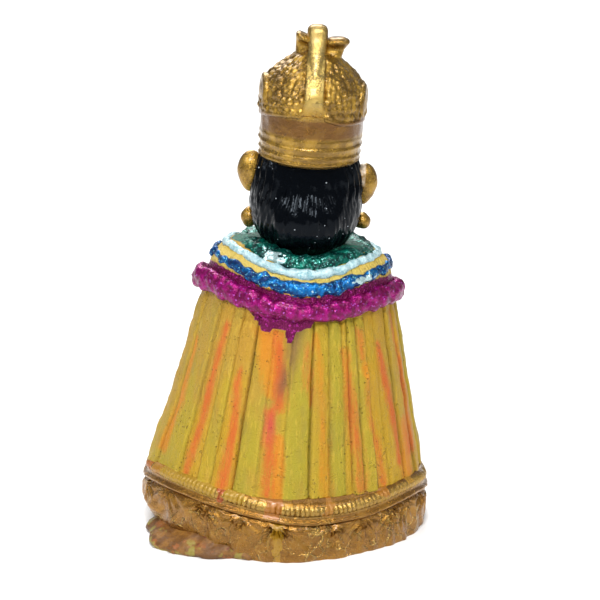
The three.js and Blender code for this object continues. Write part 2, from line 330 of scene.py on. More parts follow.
# how far the tops of the pleats stand out under the garland
TEETH = [
    (0, 0.2), (55, 0.2), (62, 0.9), (75, 0.9), (92, 0.5), (98, 1), (125, 0.9), (135, 0.3), (180, 0.2),
    (270, 0.6),
]
even = np.arange(0, 360, 1.35)
beside = (VALLEYS[:, None] + np.array([-1, -0.5, 0, 0.5, 1])).ravel() % 360
robe_degrees = np.unique(np.round(np.concatenate([even, beside]), 2))
robe_degrees = robe_degrees[np.concatenate([[True], np.diff(robe_degrees) > 0.3])]
print(len(VALLEYS), "pleats,", len(robe_degrees), "columns of points")

# %% [markdown]
# ## Where the thick magenta paint ends
#
# The maker ran the last colour of the garlands over the top of the pleats, and it sagged into a few drips.
# A short table says how low its edge comes at each angle. It shapes the robe here, and colours it later.

# %% The drips
DRIP_EDGE = [
    (0, 58.6), (30, 58.6), (45, 57.8), (60, 56.6), (64, 55.4), (68, 54), (70, 53.1), (74, 53.2), (76, 54),
    (80, 54.2), (83, 53.8), (84.3, 51.9), (85.8, 51.2), (87.4, 51.6), (88.8, 53.8), (92, 54.6), (97, 54.8),
    (99.5, 56.6), (108, 57.4), (130, 58), (150, 58.4), (180, 58.6), (270, 57),
]


def dripped(degrees, height, blur=0.5):
    """1 where the thick paint covers the robe, with an edge this soft."""
    edge = by_angle(DRIP_EDGE, degrees, 0.5)
    return smooth_step(height, edge - blur, edge + blur) * smooth_step(height, 64, 62)


print("the longest drip ends", min(level for _, level in DRIP_EDGE), "mm up")

# %% The folds of the robe
robe_rows = np.concatenate([np.linspace(DRAPE_AT[-1] - 0.7, 23, 44), np.linspace(22.2, 0.3, 14)])
rows, degrees = np.meshgrid(robe_rows, robe_degrees, indexing="ij")
flat = np.stack([degrees * 0.5, rows, 0 * rows], -1)
point, out, _ = drape(rows)
height = point[..., 1]
angle = np.radians(degrees + 0.4 * unevenness(flat, 11, 3))
pleat, across, _, _ = pleat_at(degrees)
pleat_top = 24.2 + 1.3 * (2 * across - 1) ** 2 + 2.5 * pleat_levels[pleat]
pleated = smooth_step(rows, 20.5, 23.5) * (0.75 + 0.25 * smooth_step(rows, DRAPE_AT[-1], DRAPE_AT[-1] - 5))
tooth = by_angle(TEETH, degrees)
teeth = tooth * smooth_step(rows, pleat_top + 0.5, pleat_top - 0.5) * smooth_step(rows, 19.5, 21.5)
thick = dripped(degrees, height)
lifted = -pleat_depth(degrees) * pleated * (1 - 0.6 * thick) - teeth * (1 - 0.5 * thick)
lifted += 0.8 * thick * smooth_step(height, 61, 58.5)
print("the robe's folds go from", lifted.min().round(1), "to", lifted.max().round(1), "mm")

# %% The robe's skin
# dried drops of paint and small holes, as (angle, height, size, rise)
PAINT_DROPS = [
    (131.5, 42.5, 0.9, 0.5), (129.5, 40.5, 0.7, 0.35), (84, 33.5, 0.7, 0.3), (86, 24.8, 0.7, 0.45),
    (103, 43.5, 0.6, 0.35), (53, 26, 0.5, 0.3), (121, 24, 0.6, 0.4), (122, 20.5, 0.6, 0.4),
    (47, 30, 0.5, 0.3), (110, 17.8, 0.5, -0.5), (118, 33, 0.6, -0.4), (60, 52, 0.6, -0.5),
]
# the two rings inside the hem that close the robe, as (half width, height)
INNER_RINGS = ((29.5, 6), (31.4, ROBE_BOTTOM))
# coarse, middling and fine unevenness, as (rise, size, seed)
COARSE_TO_FINE = ((0.12, 9, 4), (0.08, 2.6, 5), (0.05, 1.1, 6))
place = robed(angle, point[..., 0], height)
lifted += sum(rise * unevenness(place, size, seed) for rise, size, seed in COARSE_TO_FINE)
for at, middle, size, rise in PAINT_DROPS:
    away = np.hypot((degrees - at) * 0.45, height - middle)
    lifted += rise * bump(away, 0, size)
point = point + out * lifted[..., None]
# low down, the robe is a little wider towards +X
wide_left = smooth_step(height, 34, 17) * np.maximum(0, np.cos(angle)) ** 2
rings = draped(angle, point[..., 0] + wide_left, point[..., 1])
inner = [ring_about(robe_degrees, half, z) for half, z in INNER_RINGS]
stacked(np.concatenate([inner, rings]), "robe_yellow")
print("robe", len(skins[-1].data.polygons), "faces")

# %% [markdown]
# ## The gold hem
#
# Below the robe run a row of small beads, a flat band, a thin cord and a flounce. The whole hem waves up and
# down as it goes round. The beads are too many to model one by one, so one ring of points rises and falls.
# The flounce is drawn in at uneven gathers, and from each gather a fan of small folds spreads down.

# %% How the hem waves
HEM_RADIUS = 34
HEM_LIFT = [
    (0, 1.6), (13, 2.5), (30, 3.2), (43, 3.2), (54, 2.7), (68, 2), (81, 0.9), (90, 0.4), (100, -0.3),
    (110, -0.1), (120, 0.1), (130, 0.7), (140, 1.4), (150, 1.7), (160, 1.5), (170, 0.9), (180, 0.5),
    (225, 0.8), (270, 0.5), (315, 1), (345, 1.3),
]


def along_hem(degrees, size, seed):
    """Unevenness that changes only along the hem."""
    return unevenness(about_axis(HEM_RADIUS, degrees, 0), size, seed)


lifts = [lift for _, lift in HEM_LIFT]
print("the hem waves by", round(max(lifts) - min(lifts), 1), "mm")

# %% Beads and the ledge above them
BEADS, COLUMNS_PER_BEAD = 180, 5
BEAD_OUTLINE = [
    (31, 10.4), (33.2, 10.9), (33.7, 11.15), (33.95, 11.6), (33.95, 12.2), (33.6, 12.85), (33.1, 13.2),
    (32.6, 13.5),
]
LEDGE_OUTLINE = [(32.35, 14.2), (32.25, 15.1), (31, 15.3)]
LEDGE_OVER_BEADS = np.array([0.1, 0.2, 0.3])
degrees = np.arange(BEADS * COLUMNS_PER_BEAD) * 360 / (BEADS * COLUMNS_PER_BEAD)
half, height = np.array(BEAD_OUTLINE).T
gap = 1 - np.abs(np.sin(np.radians(degrees * BEADS / 2))) ** 0.7
rounded = np.clip((half - 32.9) / 0.8, 0, 1)
size = 0.9 + 0.35 * along_hem(degrees, 2.5, 22)
lift = by_angle(HEM_LIFT, degrees) + 0.12 * along_hem(degrees, 7, 21)
halves = half[:, None] - 0.5 * rounded[:, None] * gap * size + 0.08 * along_hem(degrees, 1.4, 25)
heights = height[:, None] + lift
ledge_half, ledge_height = np.array(LEDGE_OUTLINE).T
halves = np.concatenate([halves, ledge_half[:, None] + 0 * degrees])
ledge = np.maximum(ledge_height[:, None], heights[-1] + LEDGE_OVER_BEADS[:, None])
stacked(ring_about(degrees, halves, np.concatenate([heights, ledge])), "trim_gold")
hem_line = ring_about(degrees, HEM_RADIUS, ROBE_BOTTOM)
hem_length = np.linalg.norm(np.diff(hem_line, axis=0), axis=-1).sum()
print(BEADS, "beads, each", round(hem_length / BEADS, 2), "mm wide")

# %% The flat band and the cord
CORD_OUTLINE = [
    (31, 8.8), (33.6, 8.95), (34.15, 9.1), (34.45, 9.4), (34.45, 9.75), (34.15, 10), (33.6, 10.15),
    (33.45, 10.5), (33.4, 11), (31, 11.2),
]
degrees = np.arange(0, 360, 1.4)
half, height = np.array(CORD_OUTLINE).T
# the cord's own unevenness is greatest at its middle, halfway between the fourth and fifth rings
cord_there = bump(np.arange(len(CORD_OUTLINE)), 3.5, 1.6)[:, None]
lift = by_angle(HEM_LIFT, degrees) + 0.14 * along_hem(degrees, 9, 23)
halves = half[:, None] + 0.12 * cord_there * along_hem(degrees, 2, 24)
stacked(ring_about(degrees, halves, height[:, None] + lift), "trim_gold")
print("cord", len(skins[-1].data.polygons), "faces")

# %% The gathers and their folds
GATHERS = np.array([
    15, 33.5, 56.5, 71.5, 87, 110, 123.5, 138, 149, 163, 178, 197, 216, 235, 254, 273, 292, 311, 330, 346,
])
# the fan at a gather has a fold every so many degrees, and neighbours differ
FOLD_EVERY = np.array([24, 27, 22, 26, 25, 21, 28, 24, 26])
GATHER_HEIGHT, GATHER_RADIUS = 8.9, 33
degrees = np.concatenate([np.arange(-10, 190, 0.66), np.arange(190.5, 350, 1.5)])
heights = np.concatenate([[-3], np.linspace(-2.9, 4, 9), np.linspace(4.4, 9, 15), [9.2]])
height, degree = np.meshgrid(heights, degrees, indexing="ij")
to_gather = (degree[..., None] - GATHERS + 180) % 360 - 180
nearest = np.abs(to_gather).argmin(-1)
aside = np.radians(np.take_along_axis(to_gather, nearest[..., None], -1)[..., 0]) * GATHER_RADIUS
next_gather = np.searchsorted(GATHERS, degree % 360) % len(GATHERS)
after, before = GATHERS[next_gather], np.roll(GATHERS, 1)[next_gather]
share = ((degree - before) % 360) / ((after - before) % 360)
# 1 between two gathers and 0 at each of them
puff = np.sin(np.pi * np.clip(share, 0, 1)) ** 0.45
below = GATHER_HEIGHT - height
reach, turn = np.hypot(aside, below), np.degrees(np.arctan2(aside, below))
every = FOLD_EVERY[nearest % len(FOLD_EVERY)]
folds = np.cos(np.radians(turn * 360 / every + 40 * np.sin(nearest))) * smooth_step(reach, 0.7, 1.6)
folds *= np.exp(-np.maximum(0, reach - 2.4) / 2.1) * smooth_step(np.abs(turn), 92, 62)
print(len(GATHERS), "gathers")

# %% The flounce
FLOUNCE = [
    (29, -3), (33.4, -2.9), (34.2, -1), (34.6, 1), (34.75, 2.6), (34.75, 5.6), (34.65, 7), (34.4, 7.9),
    (34, 8.5), (33.4, 9), (31, 9.2),
]
# how far the flounce's lower edge is drawn up, to clear the slab on one side
FLOUNCE_LIFT = [
    (0, 6.4), (15, 6.2), (32, 5.1), (42, 4.2), (60, 3), (72, 2), (85, 0.7), (100, 0), (290, 0), (320, 2.4),
    (340, 5),
]
DEEPER_BEHIND, DEEPER_IN_FRONT = 1.025, 0.985
flat = about_axis(HEM_RADIUS, degree, height)
fold_size = 0.68 * (1 + 0.5 * unevenness(flat, 5, 31))
near_top = smooth_step(height, 5, 7.5)
half = outline_at(FLOUNCE, height)
half = half - (0.3 + 0.25 * near_top) * (1 - puff) + 0.8 * fold_size * (folds - 0.15) - 0.12
half = half + 0.12 * unevenness(flat, 1.7, 32) + 0.26 * unevenness(flat, 4, 33) - 0.1
upright_folds = np.cos(np.radians(degree * 30 + 100 * unevenness(flat * [1, 1, 0.15], 7, 35)))
half = half + 0.26 * upright_folds * smooth_step(height, 6.5, 3) - 0.2
half = half + 0.8 * bump(degree, 138, 24) * smooth_step(height, 5, 1)
raised = by_angle(FLOUNCE_LIFT, degree) * (1 - smooth_step(height, -3, 8.2))
wavy = 0.4 * along_hem(degree, 5, 34) * (1 - smooth_step(height, -3, 5))
height = height + raised + wavy + by_angle(HEM_LIFT, degree) * smooth_step(height, 0, 8)
height = height - 0.35 * (1 - puff) * near_top
rings = ring_about(degree, half, height)
rings[..., 1] *= np.where(rings[..., 1] > 0, DEEPER_BEHIND, DEEPER_IN_FRONT)
stacked(rings, "trim_gold")
print("flounce", len(skins[-1].data.polygons), "faces")

# %% [markdown]
# ## The base
#
# Under the flounce is a slab of plaster with its underside ground flat. It shows on one side, where the hem
# is lifted, and spreads to a blunt corner there. It stands level, so it is shaped as it stands on the floor
# and then turned upright, to be leaned again with the rest.

# %% The base's skin
BASE_HALF_WIDTH, BASE_HALF_DEPTH = 30, 27.4
CORNER_SHARE, CORNER_AT, CORNER_SPREAD = 0.235, 36, 25
degrees = np.arange(0, 360, 2)
levels = np.array([-0.5, 0.02, 0.3, 0.7, 1.3, 2, 2.8, 3.6, 4.6, 5.6, 6.4])
level, degree = np.meshgrid(levels, degrees, indexing="ij")
angle = np.radians(degree)
oval = 1 / np.hypot(np.cos(angle) / BASE_HALF_WIDTH, np.sin(angle) / BASE_HALF_DEPTH)
corner = CORNER_SHARE * bump(degree, CORNER_AT, CORNER_SPREAD)
reach = oval * (1 + corner * (1 - 0.85 * smooth_step(level, 1.2, 6.2)))
reach = reach - 0.5 * smooth_step(level, 0.6, 0) - 2.6 * smooth_step(level, 0.8, 5)
spot = about_axis(reach, degree, level)
reach = reach + 0.5 * unevenness(spot, 4, 41) + 0.35 * unevenness(spot, 1.6, 42) - 0.1
stacked(upright(about_axis(reach, degree, level) + np.array([CENTRE_SHIFT, 0, 0])), "base_plaster")
print("base", len(skins[-1].data.polygons), "faces")

# %% [markdown]
# ## The garlands
#
# Four garlands lie on the shoulders, close under the hair at the back and hanging low in front. On the real
# idol they are ropes of thick glitter paint over cast beads, so they are lumpy. Each one follows the robe's
# outline at its own distance from the neck, and its section is an oval with soft lumps. Distances are in mm
# down the outline: at the sides, in the middle of the back and in the middle of the front.

# %% Where each rope lies
# half and rise are half the rope's width and its height. left and right push it out at the sides, sink
# lowers it there, and thin makes it thinner there. groove is the depth of a line along the rope's top.
GARLANDS = [
    dict(paint="glitter_green", side=6.3, back=7.2, front=10, half=3.1, rise=2.1, lump=0.42,
         left=-1, right=1.4, sink=1.3, thin=0, groove=0.14, sides=17, seed=51, dents=()),
    dict(paint="glitter_white", side=10, back=11.6, front=15.2, half=1.3, rise=1.2, lump=0.26,
         left=0.2, right=0.2, sink=0, thin=0.3, groove=0, sides=12, seed=52, dents=()),
    dict(paint="glitter_blue", side=14.2, back=15.4, front=21, half=1.75, rise=1.8, lump=0.4,
         left=-0.2, right=0.2, sink=0, thin=0.48, groove=0, sides=12, seed=53, dents=()),
    # a dent is an angle round the figure, a turn round the rope, a size and a rise, or a fall if negative
    dict(paint="glitter_magenta", side=19.8, back=20.8, front=30, half=2.3, rise=2.6, lump=0.34,
         left=1.6, right=1, sink=0.2, thin=0, groove=0, sides=17, seed=54,
         dents=((91.5, 6.15, 1.4, 0.7), (133, 0.1, 1, -1.1), (68, 0.4, 2, 0.5))),
]


def rope_middle(garland, angle):
    """How far down the outline a garland lies at each angle round the figure."""
    to_back = np.sin(angle)
    behind = garland["side"] + (garland["back"] - garland["side"]) * np.abs(to_back) ** 1.5
    in_front = garland["side"] + (garland["front"] - garland["side"]) * np.abs(to_back) ** 1.8
    return np.where(to_back > 0, behind, in_front)


def rope_section(garland, angle, turn):
    """Every point's way from the rope's middle, in the plane of the outline, before the lumps."""
    point, out, down = drape(rope_middle(garland, angle))
    flatter = 0.62 + 0.38 * np.sin(angle)[:, None] ** 2
    groove = 1 - garland["groove"] * bump(turn, 0.75, 0.3)
    outwards = out[:, None, :] * (np.cos(turn) * garland["rise"] * 0.9 * flatter)[..., None]
    along = down[:, None, :] * np.sin(turn)[..., None] * garland["half"]
    return point, (outwards + along) * groove[..., None]


print(len(GARLANDS), "garlands")

# %% The ropes' skins
for garland in GARLANDS:
    stations = int(300 * (0.75 + garland["half"] / 8))
    angle = np.arange(stations) * 2 * np.pi / stations
    turn = (np.arange(garland["sides"]) * 2 * np.pi / garland["sides"])[None, :]
    point, section = rope_section(garland, angle, turn)
    to_left = np.cos(angle)
    thinner = 1 - garland["thin"] * to_left**2 * smooth_step(np.sin(angle), -0.3, 0.05)
    flat_point = point[:, None, :] + section * thinner[:, None, None]
    aside = np.where(to_left > 0, garland["left"], garland["right"]) * np.abs(to_left) ** 5
    flat_point[..., 0] += aside[:, None]
    flat_point[..., 1] -= garland["sink"] * (np.abs(to_left) ** 4)[:, None]
    around = np.broadcast_to(angle[:, None], flat_point.shape[:2])
    place = draped(around, flat_point[..., 0], flat_point[..., 1])
    small_lumps = 0.45 * unevenness(place, 1.1, garland["seed"] + 10)
    swell = garland["lump"] * (0.8 * unevenness(place, 2, garland["seed"]) + small_lumps)
    for at, side_turn, size, rise in garland["dents"]:
        turned = (turn - side_turn + np.pi) % (2 * np.pi) - np.pi
        along_rope = (np.degrees(around) - at) * 0.35
        swell = swell + rise * np.exp(-(along_rope**2 + (turned * 2.6) ** 2) / size**2)
    length = np.linalg.norm(section, axis=-1, keepdims=True)
    flat_point = flat_point + section / length * swell[..., None]
    looped(draped(around, flat_point[..., 0], flat_point[..., 1]), garland["paint"])
    print(garland["paint"], len(skins[-1].data.polygons), "faces")

# %% [markdown]
# ## Hair
#
# The hair is smooth under the crown, with a few thick locks over each ear, and ends in a round bun. Fine
# strands fan out over the bun from the middle of its top. Each strand is a ridge between two grooves.

# %% The hair's skin
HAIR = [
    (7.4, 68.5), (8.3, 69.2), (10.2, 71), (11.8, 73.5), (13, 77), (13.35, 80), (13.1, 83), (12.6, 86),
    (12.1, 88.5), (11.3, 91), (10.6, 92.5), (9, 93),
]
BUN_MIDDLE = 92
degrees = np.concatenate([np.arange(-18, 199, 1), np.arange(202, 340, 5)])
heights = np.concatenate([[68.5], np.linspace(68.8, 92.5, 38), [93]])
height, degree = np.meshgrid(heights, degrees, indexing="ij")
half = softened(outline_at(HAIR, heights), 3)[:, None] + 0 * degree
flat = np.stack([degree * 0.2, height * 0.35, 0 * height], -1)
from_middle = degree - BUN_MIDDLE
in_bun = smooth_step(height, 87.2, 85)
fanned = from_middle * (0.85 + 0.5 * smooth_step(height, 72, 86)) + 2.5 * unevenness(flat, 3.5, 61)
strand = np.abs(np.sin(np.radians(fanned * 25))) ** 0.8
thick = 0.26 + 0.14 * unevenness(flat * 2.2, 3, 62)
half = half - (0.3 + 0.7 * in_bun) * thick * (1 - strand)
waves = from_middle * 15 + 45 * np.sin(height * 0.55 + 1)
lock = np.abs(np.sin(np.radians(waves))) ** 0.7
beside_bun = smooth_step(np.abs(from_middle), 34, 44) * smooth_step(height, 81.5, 85)
half = half - 0.85 * beside_bun * (1 - lock) + 0.4 * beside_bun
# the middle of the back is drawn in under the crown and swells below that, which makes the bun
over_bun = smooth_step(np.abs(from_middle), 42, 28)
half = half - 1.6 * over_bun * smooth_step(height, 79, 86)
half = half + 1.3 * over_bun * bump(height, 76, 4.5)
half = half + 0.08 * unevenness(flat * 3, 2, 63)
angle = np.radians(degree)
depth = np.where(np.sin(angle) > 0, 0.96, 0.6)
stacked(np.stack([half * np.cos(angle), half * depth * np.sin(angle), height], -1), "hair_black")
print("hair", len(skins[-1].data.polygons), "faces")

# %% [markdown]
# ## Face
#
# The photograph shows only the back, so the face is a plain and calm one of the maker's own, on the usual
# thirds: brow, base of the nose and chin are evenly spaced, and an eye's width parts the eyes.

# %% The face's skin
FACE = [
    (2.6, 70.9), (3, 71), (6, 72.4), (7.9, 74), (8.9, 75.4), (9.5, 76.6), (9.9, 77.4), (10.2, 78.2),
    (10.4, 79.2), (10.6, 80.4), (10.7, 81.4), (10.8, 83), (10.8, 86.6), (10.6, 88.5), (10.2, 92.5),
]
FACE_MIDDLE_Y = -1.2
EYE_X = 4.3


def face_relief(x, z):
    """How many mm the face stands out at a point: brows, eyes, nose, cheeks, lips and chin."""
    across = np.abs(x)

    def both(at_x, at_z, spread_x, spread_z):
        return bump(across, at_x, spread_x) * bump(z, at_z, spread_z)

    bend = 0.12 * (across - EYE_X) ** 2
    brow = 0.5 * bump(across, EYE_X, 2.8) * bump(z + bend * 0.5, 86.8, 0.7)
    socket = -0.9 * both(EYE_X, 84.4, 2.4, 1.3)
    eyeball = 0.75 * both(EYE_X, 84.3, 1.8, 0.95)
    lids = bump(z + bend, 85.3, 0.22) + 0.7 * bump(z - bend * 0.6, 83.4, 0.2)
    lid = 0.22 * bump(across, EYE_X, 1.9) * lids
    bridge = 2.1 * bump(x, 0, 0.95) * (1 - smooth_step(z, 80.5, 87)) * smooth_step(z, 79.5, 80.3)
    wings = 1.1 * both(1.45, 80.5, 0.6, 0.5)
    nostril = -0.8 * both(0.8, 79.75, 0.35, 0.25)
    philtrum = -0.15 * both(0, 79, 0.35, 0.5)
    cheek = 0.5 * both(6, 79.6, 2.6, 2.2)
    upper_lip = 0.75 * bump(across, 0.7, 1.6) * bump(z + 0.06 * across**2, 78.4, 0.42)
    lower_lip = 0.85 * bump(across, 0, 1.6) * bump(z - 0.05 * across**2, 77.2, 0.5)
    mouth = -0.45 * bump(across, 0, 2.1) * bump(z - 0.03 * across**2, 77.85, 0.2)
    chin = both(0, 74.4, 2.6, 1.3)
    nose = [bridge, wings, nostril, philtrum]
    return sum([brow, socket, eyeball, lid, *nose, cheek, upper_lip, lower_lip, mouth, chin])


# the columns are close together over the features, and far apart under the hair
over_features, under_hair = np.linspace(-62, 62, 112), np.linspace(68, 292, 15)
degrees = np.concatenate([over_features, under_hair]) - 90
heights = np.concatenate([[70.9, 71], np.linspace(71.5, 88, 60), np.linspace(88.8, 92.5, 4)])
height, degree = np.meshgrid(heights, degrees, indexing="ij")
half = softened(outline_at(FACE, heights), 3)[:, None] + 0 * degree
angle = np.radians(degree)
x = half * np.cos(angle)
facing = np.maximum(0, -np.sin(angle))
depth = np.where(np.sin(angle) > 0, 0.6, 1)
y = FACE_MIDDLE_Y + half * np.sin(angle) * depth - face_relief(x, height) * facing
stacked(np.stack([x, y, height], -1), "face_gold")
print("face", len(skins[-1].data.polygons), "faces")

# %% [markdown]
# ## Crown
#
# The crown has a band with three ridges and a domed cap that overhangs the band in a small ledge. Pebbles
# cover the cap, except for a smooth strap that runs over it from back to front and ends flush with the band.
# Each pebble has its own place, size and height, because they were pressed into the mould one by one.

# %% The band
BAND = [(10.4, 90.6), (11, 90.9), (11.6, 91.7), (11.9, 97), (12.05, 103.3), (11.2, 103.4)]
# each ridge is a height, a rise and a spread
RIDGES = ((91.6, 0.4, 0.5), (93.1, 0.34, 0.42), (95.2, 0.36, 0.45), (97, 0.14, 0.3))
degrees = np.arange(0, 360, 2.5)
heights = np.concatenate([[90.6], np.linspace(90.9, 98, 26), np.linspace(98.5, 103.3, 9), [103.4]])
height, degree = np.meshgrid(heights, degrees, indexing="ij")
half = outline_at(BAND, height)
ring = about_axis(half, degree, height)
for ridge, rise, spread in RIDGES:
    bent = ridge + 0.12 * unevenness(ring * [1, 1, 0], 9, int(ridge))
    half = half + rise * bump(height, bent, spread)
half = half + 0.07 * unevenness(ring, 2.2, 71) + 0.05 * unevenness(ring, 6, 72)
stacked(about_axis(half, degree, height), "trim_gold")
print("band", len(skins[-1].data.polygons), "faces")

# %% The cap
DOME = [
    (12.35, 101.8), (12.5, 102.4), (12.3, 104.4), (12.1, 106.2), (11.7, 108), (11, 109.8), (9.7, 111.5),
    (7.9, 113), (6.2, 114.4), (5.3, 115.4), (4.2, 116), (3, 116.4),
]
INSIDE_THE_BAND = 11
wall, top = np.linspace(101.8, 110, 32), np.linspace(110.2, 114.4, 23)
heights = np.concatenate([[101.6], wall, top, [115, 115.7, 116.4]])
profile = softened(outline_at(DOME, heights), 2)
profile[0] = INSIDE_THE_BAND
run = np.concatenate([[0], np.cumsum(np.hypot(np.diff(profile), np.diff(heights)))])
degrees = np.arange(0, 360, 1.45)
along, degree = np.meshgrid(run, degrees, indexing="ij")
half = profile[:, None] + 0 * degree
height = heights[:, None] + 0 * degree
angle = np.radians(degree)


def strap_half(height):
    """Half the strap's width: wider at its foot than at its top."""
    return np.interp(height, [101, 103, 106, 112, 116], [3, 2.45, 2.3, 2.15, 2.15])


print("the cap is", round(run[-1], 1), "mm from its edge to its top")

# %% Pebbles
FIRST_ROW, ROW_STEP, BARE_TOP, PEBBLE_STEP = 1.6, 1.55, 2.2, 1.5
chance = np.random.default_rng(77)
pebbles = np.zeros_like(half)
row_at = FIRST_ROW
rows_made = 0
while row_at < run[-1] - BARE_TOP:
    row_half = np.interp(row_at, run, profile)
    row_height = np.interp(row_at, run, heights)
    count = int(2 * math.pi * row_half / PEBBLE_STEP)
    for i in range(count):
        at = 2 * math.pi * (i + 0.5 * (rows_made % 2) + chance.uniform(-0.26, 0.26)) / count
        middle = row_at + chance.uniform(-0.45, 0.45)
        beside_strap = abs(row_half * math.cos(at))
        if beside_strap < strap_half(row_height) + 0.35:
            continue
        # beside the strap, high on the cap, the pebbles are drawn out like leaves
        leaf = beside_strap < 5 and row_height > 106.5
        wide = chance.uniform(0.55, 0.78)
        tall = chance.uniform(1, 1.35) if leaf else chance.uniform(0.6, 0.95)
        rise = chance.uniform(0.35, 0.62)
        turn = (angle - at + math.pi) % (2 * math.pi) - math.pi
        away = np.hypot(turn * half / wide, (along - middle) / tall)
        pebbles = np.maximum(pebbles, rise * np.clip(1 - away**2.2, 0, 1) ** 0.55)
    row_at += ROW_STEP
    rows_made += 1
print(rows_made, "rows of pebbles")

# %% The cap's skin
# how high the cap's edge is at each angle
CAP_EDGE = [
    (0, 100.9), (45, 102.3), (70, 102.9), (90, 103), (105, 102.5), (120, 101.4), (150, 101.2), (180, 101),
    (270, 102),
]
side = np.abs(half * np.cos(angle))
strap = smooth_step(side, strap_half(height) + 0.2, strap_half(height) - 0.15)
groove = bump(side, strap_half(height) + 0.4, 0.3)
crest = 0.5 * (1 - (side / 2.6) ** 2 * 0.45)
foot = smooth_step(height, 101.4, 106.6)
lip = 0.35 * bump(height, 102.4, 0.6) * smooth_step(np.abs(np.sin(angle)), 0.15, 0.5)
grain = 0.05 * unevenness(about_axis(half, degree, height), 1.6, 73)
raised = (pebbles * smooth_step(height, 102.6, 103.4) + lip - 0.35 * groove * foot) * (1 - strap)
raised = raised + strap * (crest * foot - 0.7 * (1 - foot)) + grain
lower = by_angle(CAP_EDGE, degree) - 102
height = height + lower * smooth_step(height, 109, 102.5)
stacked(about_axis(half + raised, degree, height), "trim_gold")
print("cap", len(skins[-1].data.polygons), "faces")

# %% [markdown]
# ## The finial, the discs, the ears and the jewels
#
# These are small rounded blocks. The strap's end and its two leaves are lofted: a few sections are given
# from the bottom up, and the skin is drawn smoothly through them. A section is an oval with squarer corners.

# %% Lofted blocks
BLOCK_COLUMNS = 30


def lofted(sections, square, rows=22, seed=80, slope=0):
    """A block through sections of (middle x, middle y, height, half width, half depth).

    square says how square its corners are, and slope how far its top tips sideways.
    """
    sections = np.array(sections, float)
    at = np.linspace(0, len(sections) - 1, rows)
    known = np.arange(len(sections))
    drawn = [softened(np.interp(at, known, values))[:, None] for values in sections.T]
    mid_x, mid_y, tall, wide, deep = drawn
    turn = np.arange(BLOCK_COLUMNS) * 2 * np.pi / BLOCK_COLUMNS
    cos, sin = np.cos(turn), np.sin(turn)
    bulge = (np.abs(cos) ** square + np.abs(sin) ** square) ** (-1 / square)
    rings = np.stack([mid_x + wide * cos * bulge, mid_y + deep * sin * bulge, tall + 0 * cos], -1)
    middle = np.stack([mid_x, mid_y, tall], -1)
    away = rings - middle
    rings[..., 2] += slope * away[..., 0] * smooth_step(np.linspace(0, 1, rows), 0.3, 0.8)[:, None]
    away /= np.maximum(np.linalg.norm(away, axis=-1, keepdims=True), 1e-6)
    rings = rings + away * (0.06 * unevenness(rings, 1.6, seed))[..., None]
    stacked(rings, "trim_gold")


print("a block has", BLOCK_COLUMNS, "points in each ring")

# %% The finial
KNOB = [
    (0, 0, 106.5, 2.1, 11), (0, 0, 109, 2.1, 11.2), (0, 0, 110.8, 2.1, 10.5), (0, 0, 112.3, 2.1, 9.3),
    (0, 0, 113.6, 2.1, 8), (0, 0, 114.9, 2.1, 6.7), (0, 0, 116.2, 2.12, 5.5), (0, 0, 117.6, 2.2, 4.4),
    (0, 0.1, 118.9, 2.35, 3.5), (0, 0.2, 120.2, 2.45, 2.8), (0, 0.2, 121.3, 2.4, 2.4),
    (0, 0.2, 122.1, 1.9, 1.8), (0, 0.2, 122.45, 1, 0.9),
]
NEAR_LEAF = [
    (2.6, 0, 113.6, 2.2, 2.4), (2.9, 0, 115.6, 2, 1.7), (3, 0.1, 117.3, 1.9, 1.2),
    (3.1, 0.4, 118.4, 1.9, 1.4), (3.1, 0.9, 119, 2, 2), (3.1, 0.8, 119.8, 1.9, 2),
    (3.2, 0.6, 120.3, 1.2, 1.4),
]
FAR_LEAF = [
    (-3.2, 0, 113.6, 2.5, 2.6), (-3.7, 0, 115.6, 2.3, 1.8), (-4, 0.1, 117, 2.4, 1.2),
    (-4.4, 0.4, 117.9, 2.7, 1.4), (-4.6, 0.9, 118.6, 2.9, 2), (-4.6, 0.8, 119.3, 2.7, 2),
    (-4.4, 0.6, 119.8, 1.8, 1.3),
]
lofted(KNOB, square=3.2, rows=34)
lofted(NEAR_LEAF, square=2.6, seed=81, slope=0.38)
lofted(FAR_LEAF, square=2.6, seed=82, slope=-0.1)
print("the strap's end and a leaf on each side of it")

# %% Discs on the sides of the crown
# each ring of the plate is this far out from the band and has this radius
DISC = [
    (-1.6, 4.4), (-0.2, 4.6), (0.25, 4.55), (0.6, 4.2), (0.8, 3.6), (0.7, 3.1), (0.75, 2.6), (0.95, 2),
    (1.05, 1.2), (1.1, 0.4),
]
DISC_REACH, DISC_COLUMNS = 11.6, 44


def disc(turn_degrees, height):
    """A round plate on the side of the crown, at this angle and height."""
    turn = np.radians(turn_degrees)
    out = np.array([np.cos(turn), np.sin(turn), 0])
    aside = np.array([-np.sin(turn), np.cos(turn), 0])
    up = np.array([0, 0, 1])
    around = (np.arange(DISC_COLUMNS) * 2 * np.pi / DISC_COLUMNS)[:, None]
    rings = []
    for at, radius in DISC:
        centre = out * (DISC_REACH + at) + up * height
        rings.append(centre + aside * np.cos(around) * radius + up * np.sin(around) * radius)
    rings = np.array(rings)
    stacked(rings + out * (0.08 * unevenness(rings, 2, 83))[..., None], "trim_gold")


disc(7, 106)
disc(173, 105.1)
print("two discs")

# %% Ears, earrings and jewels
EGG_ROWS, EGG_COLUMNS = 24, 36


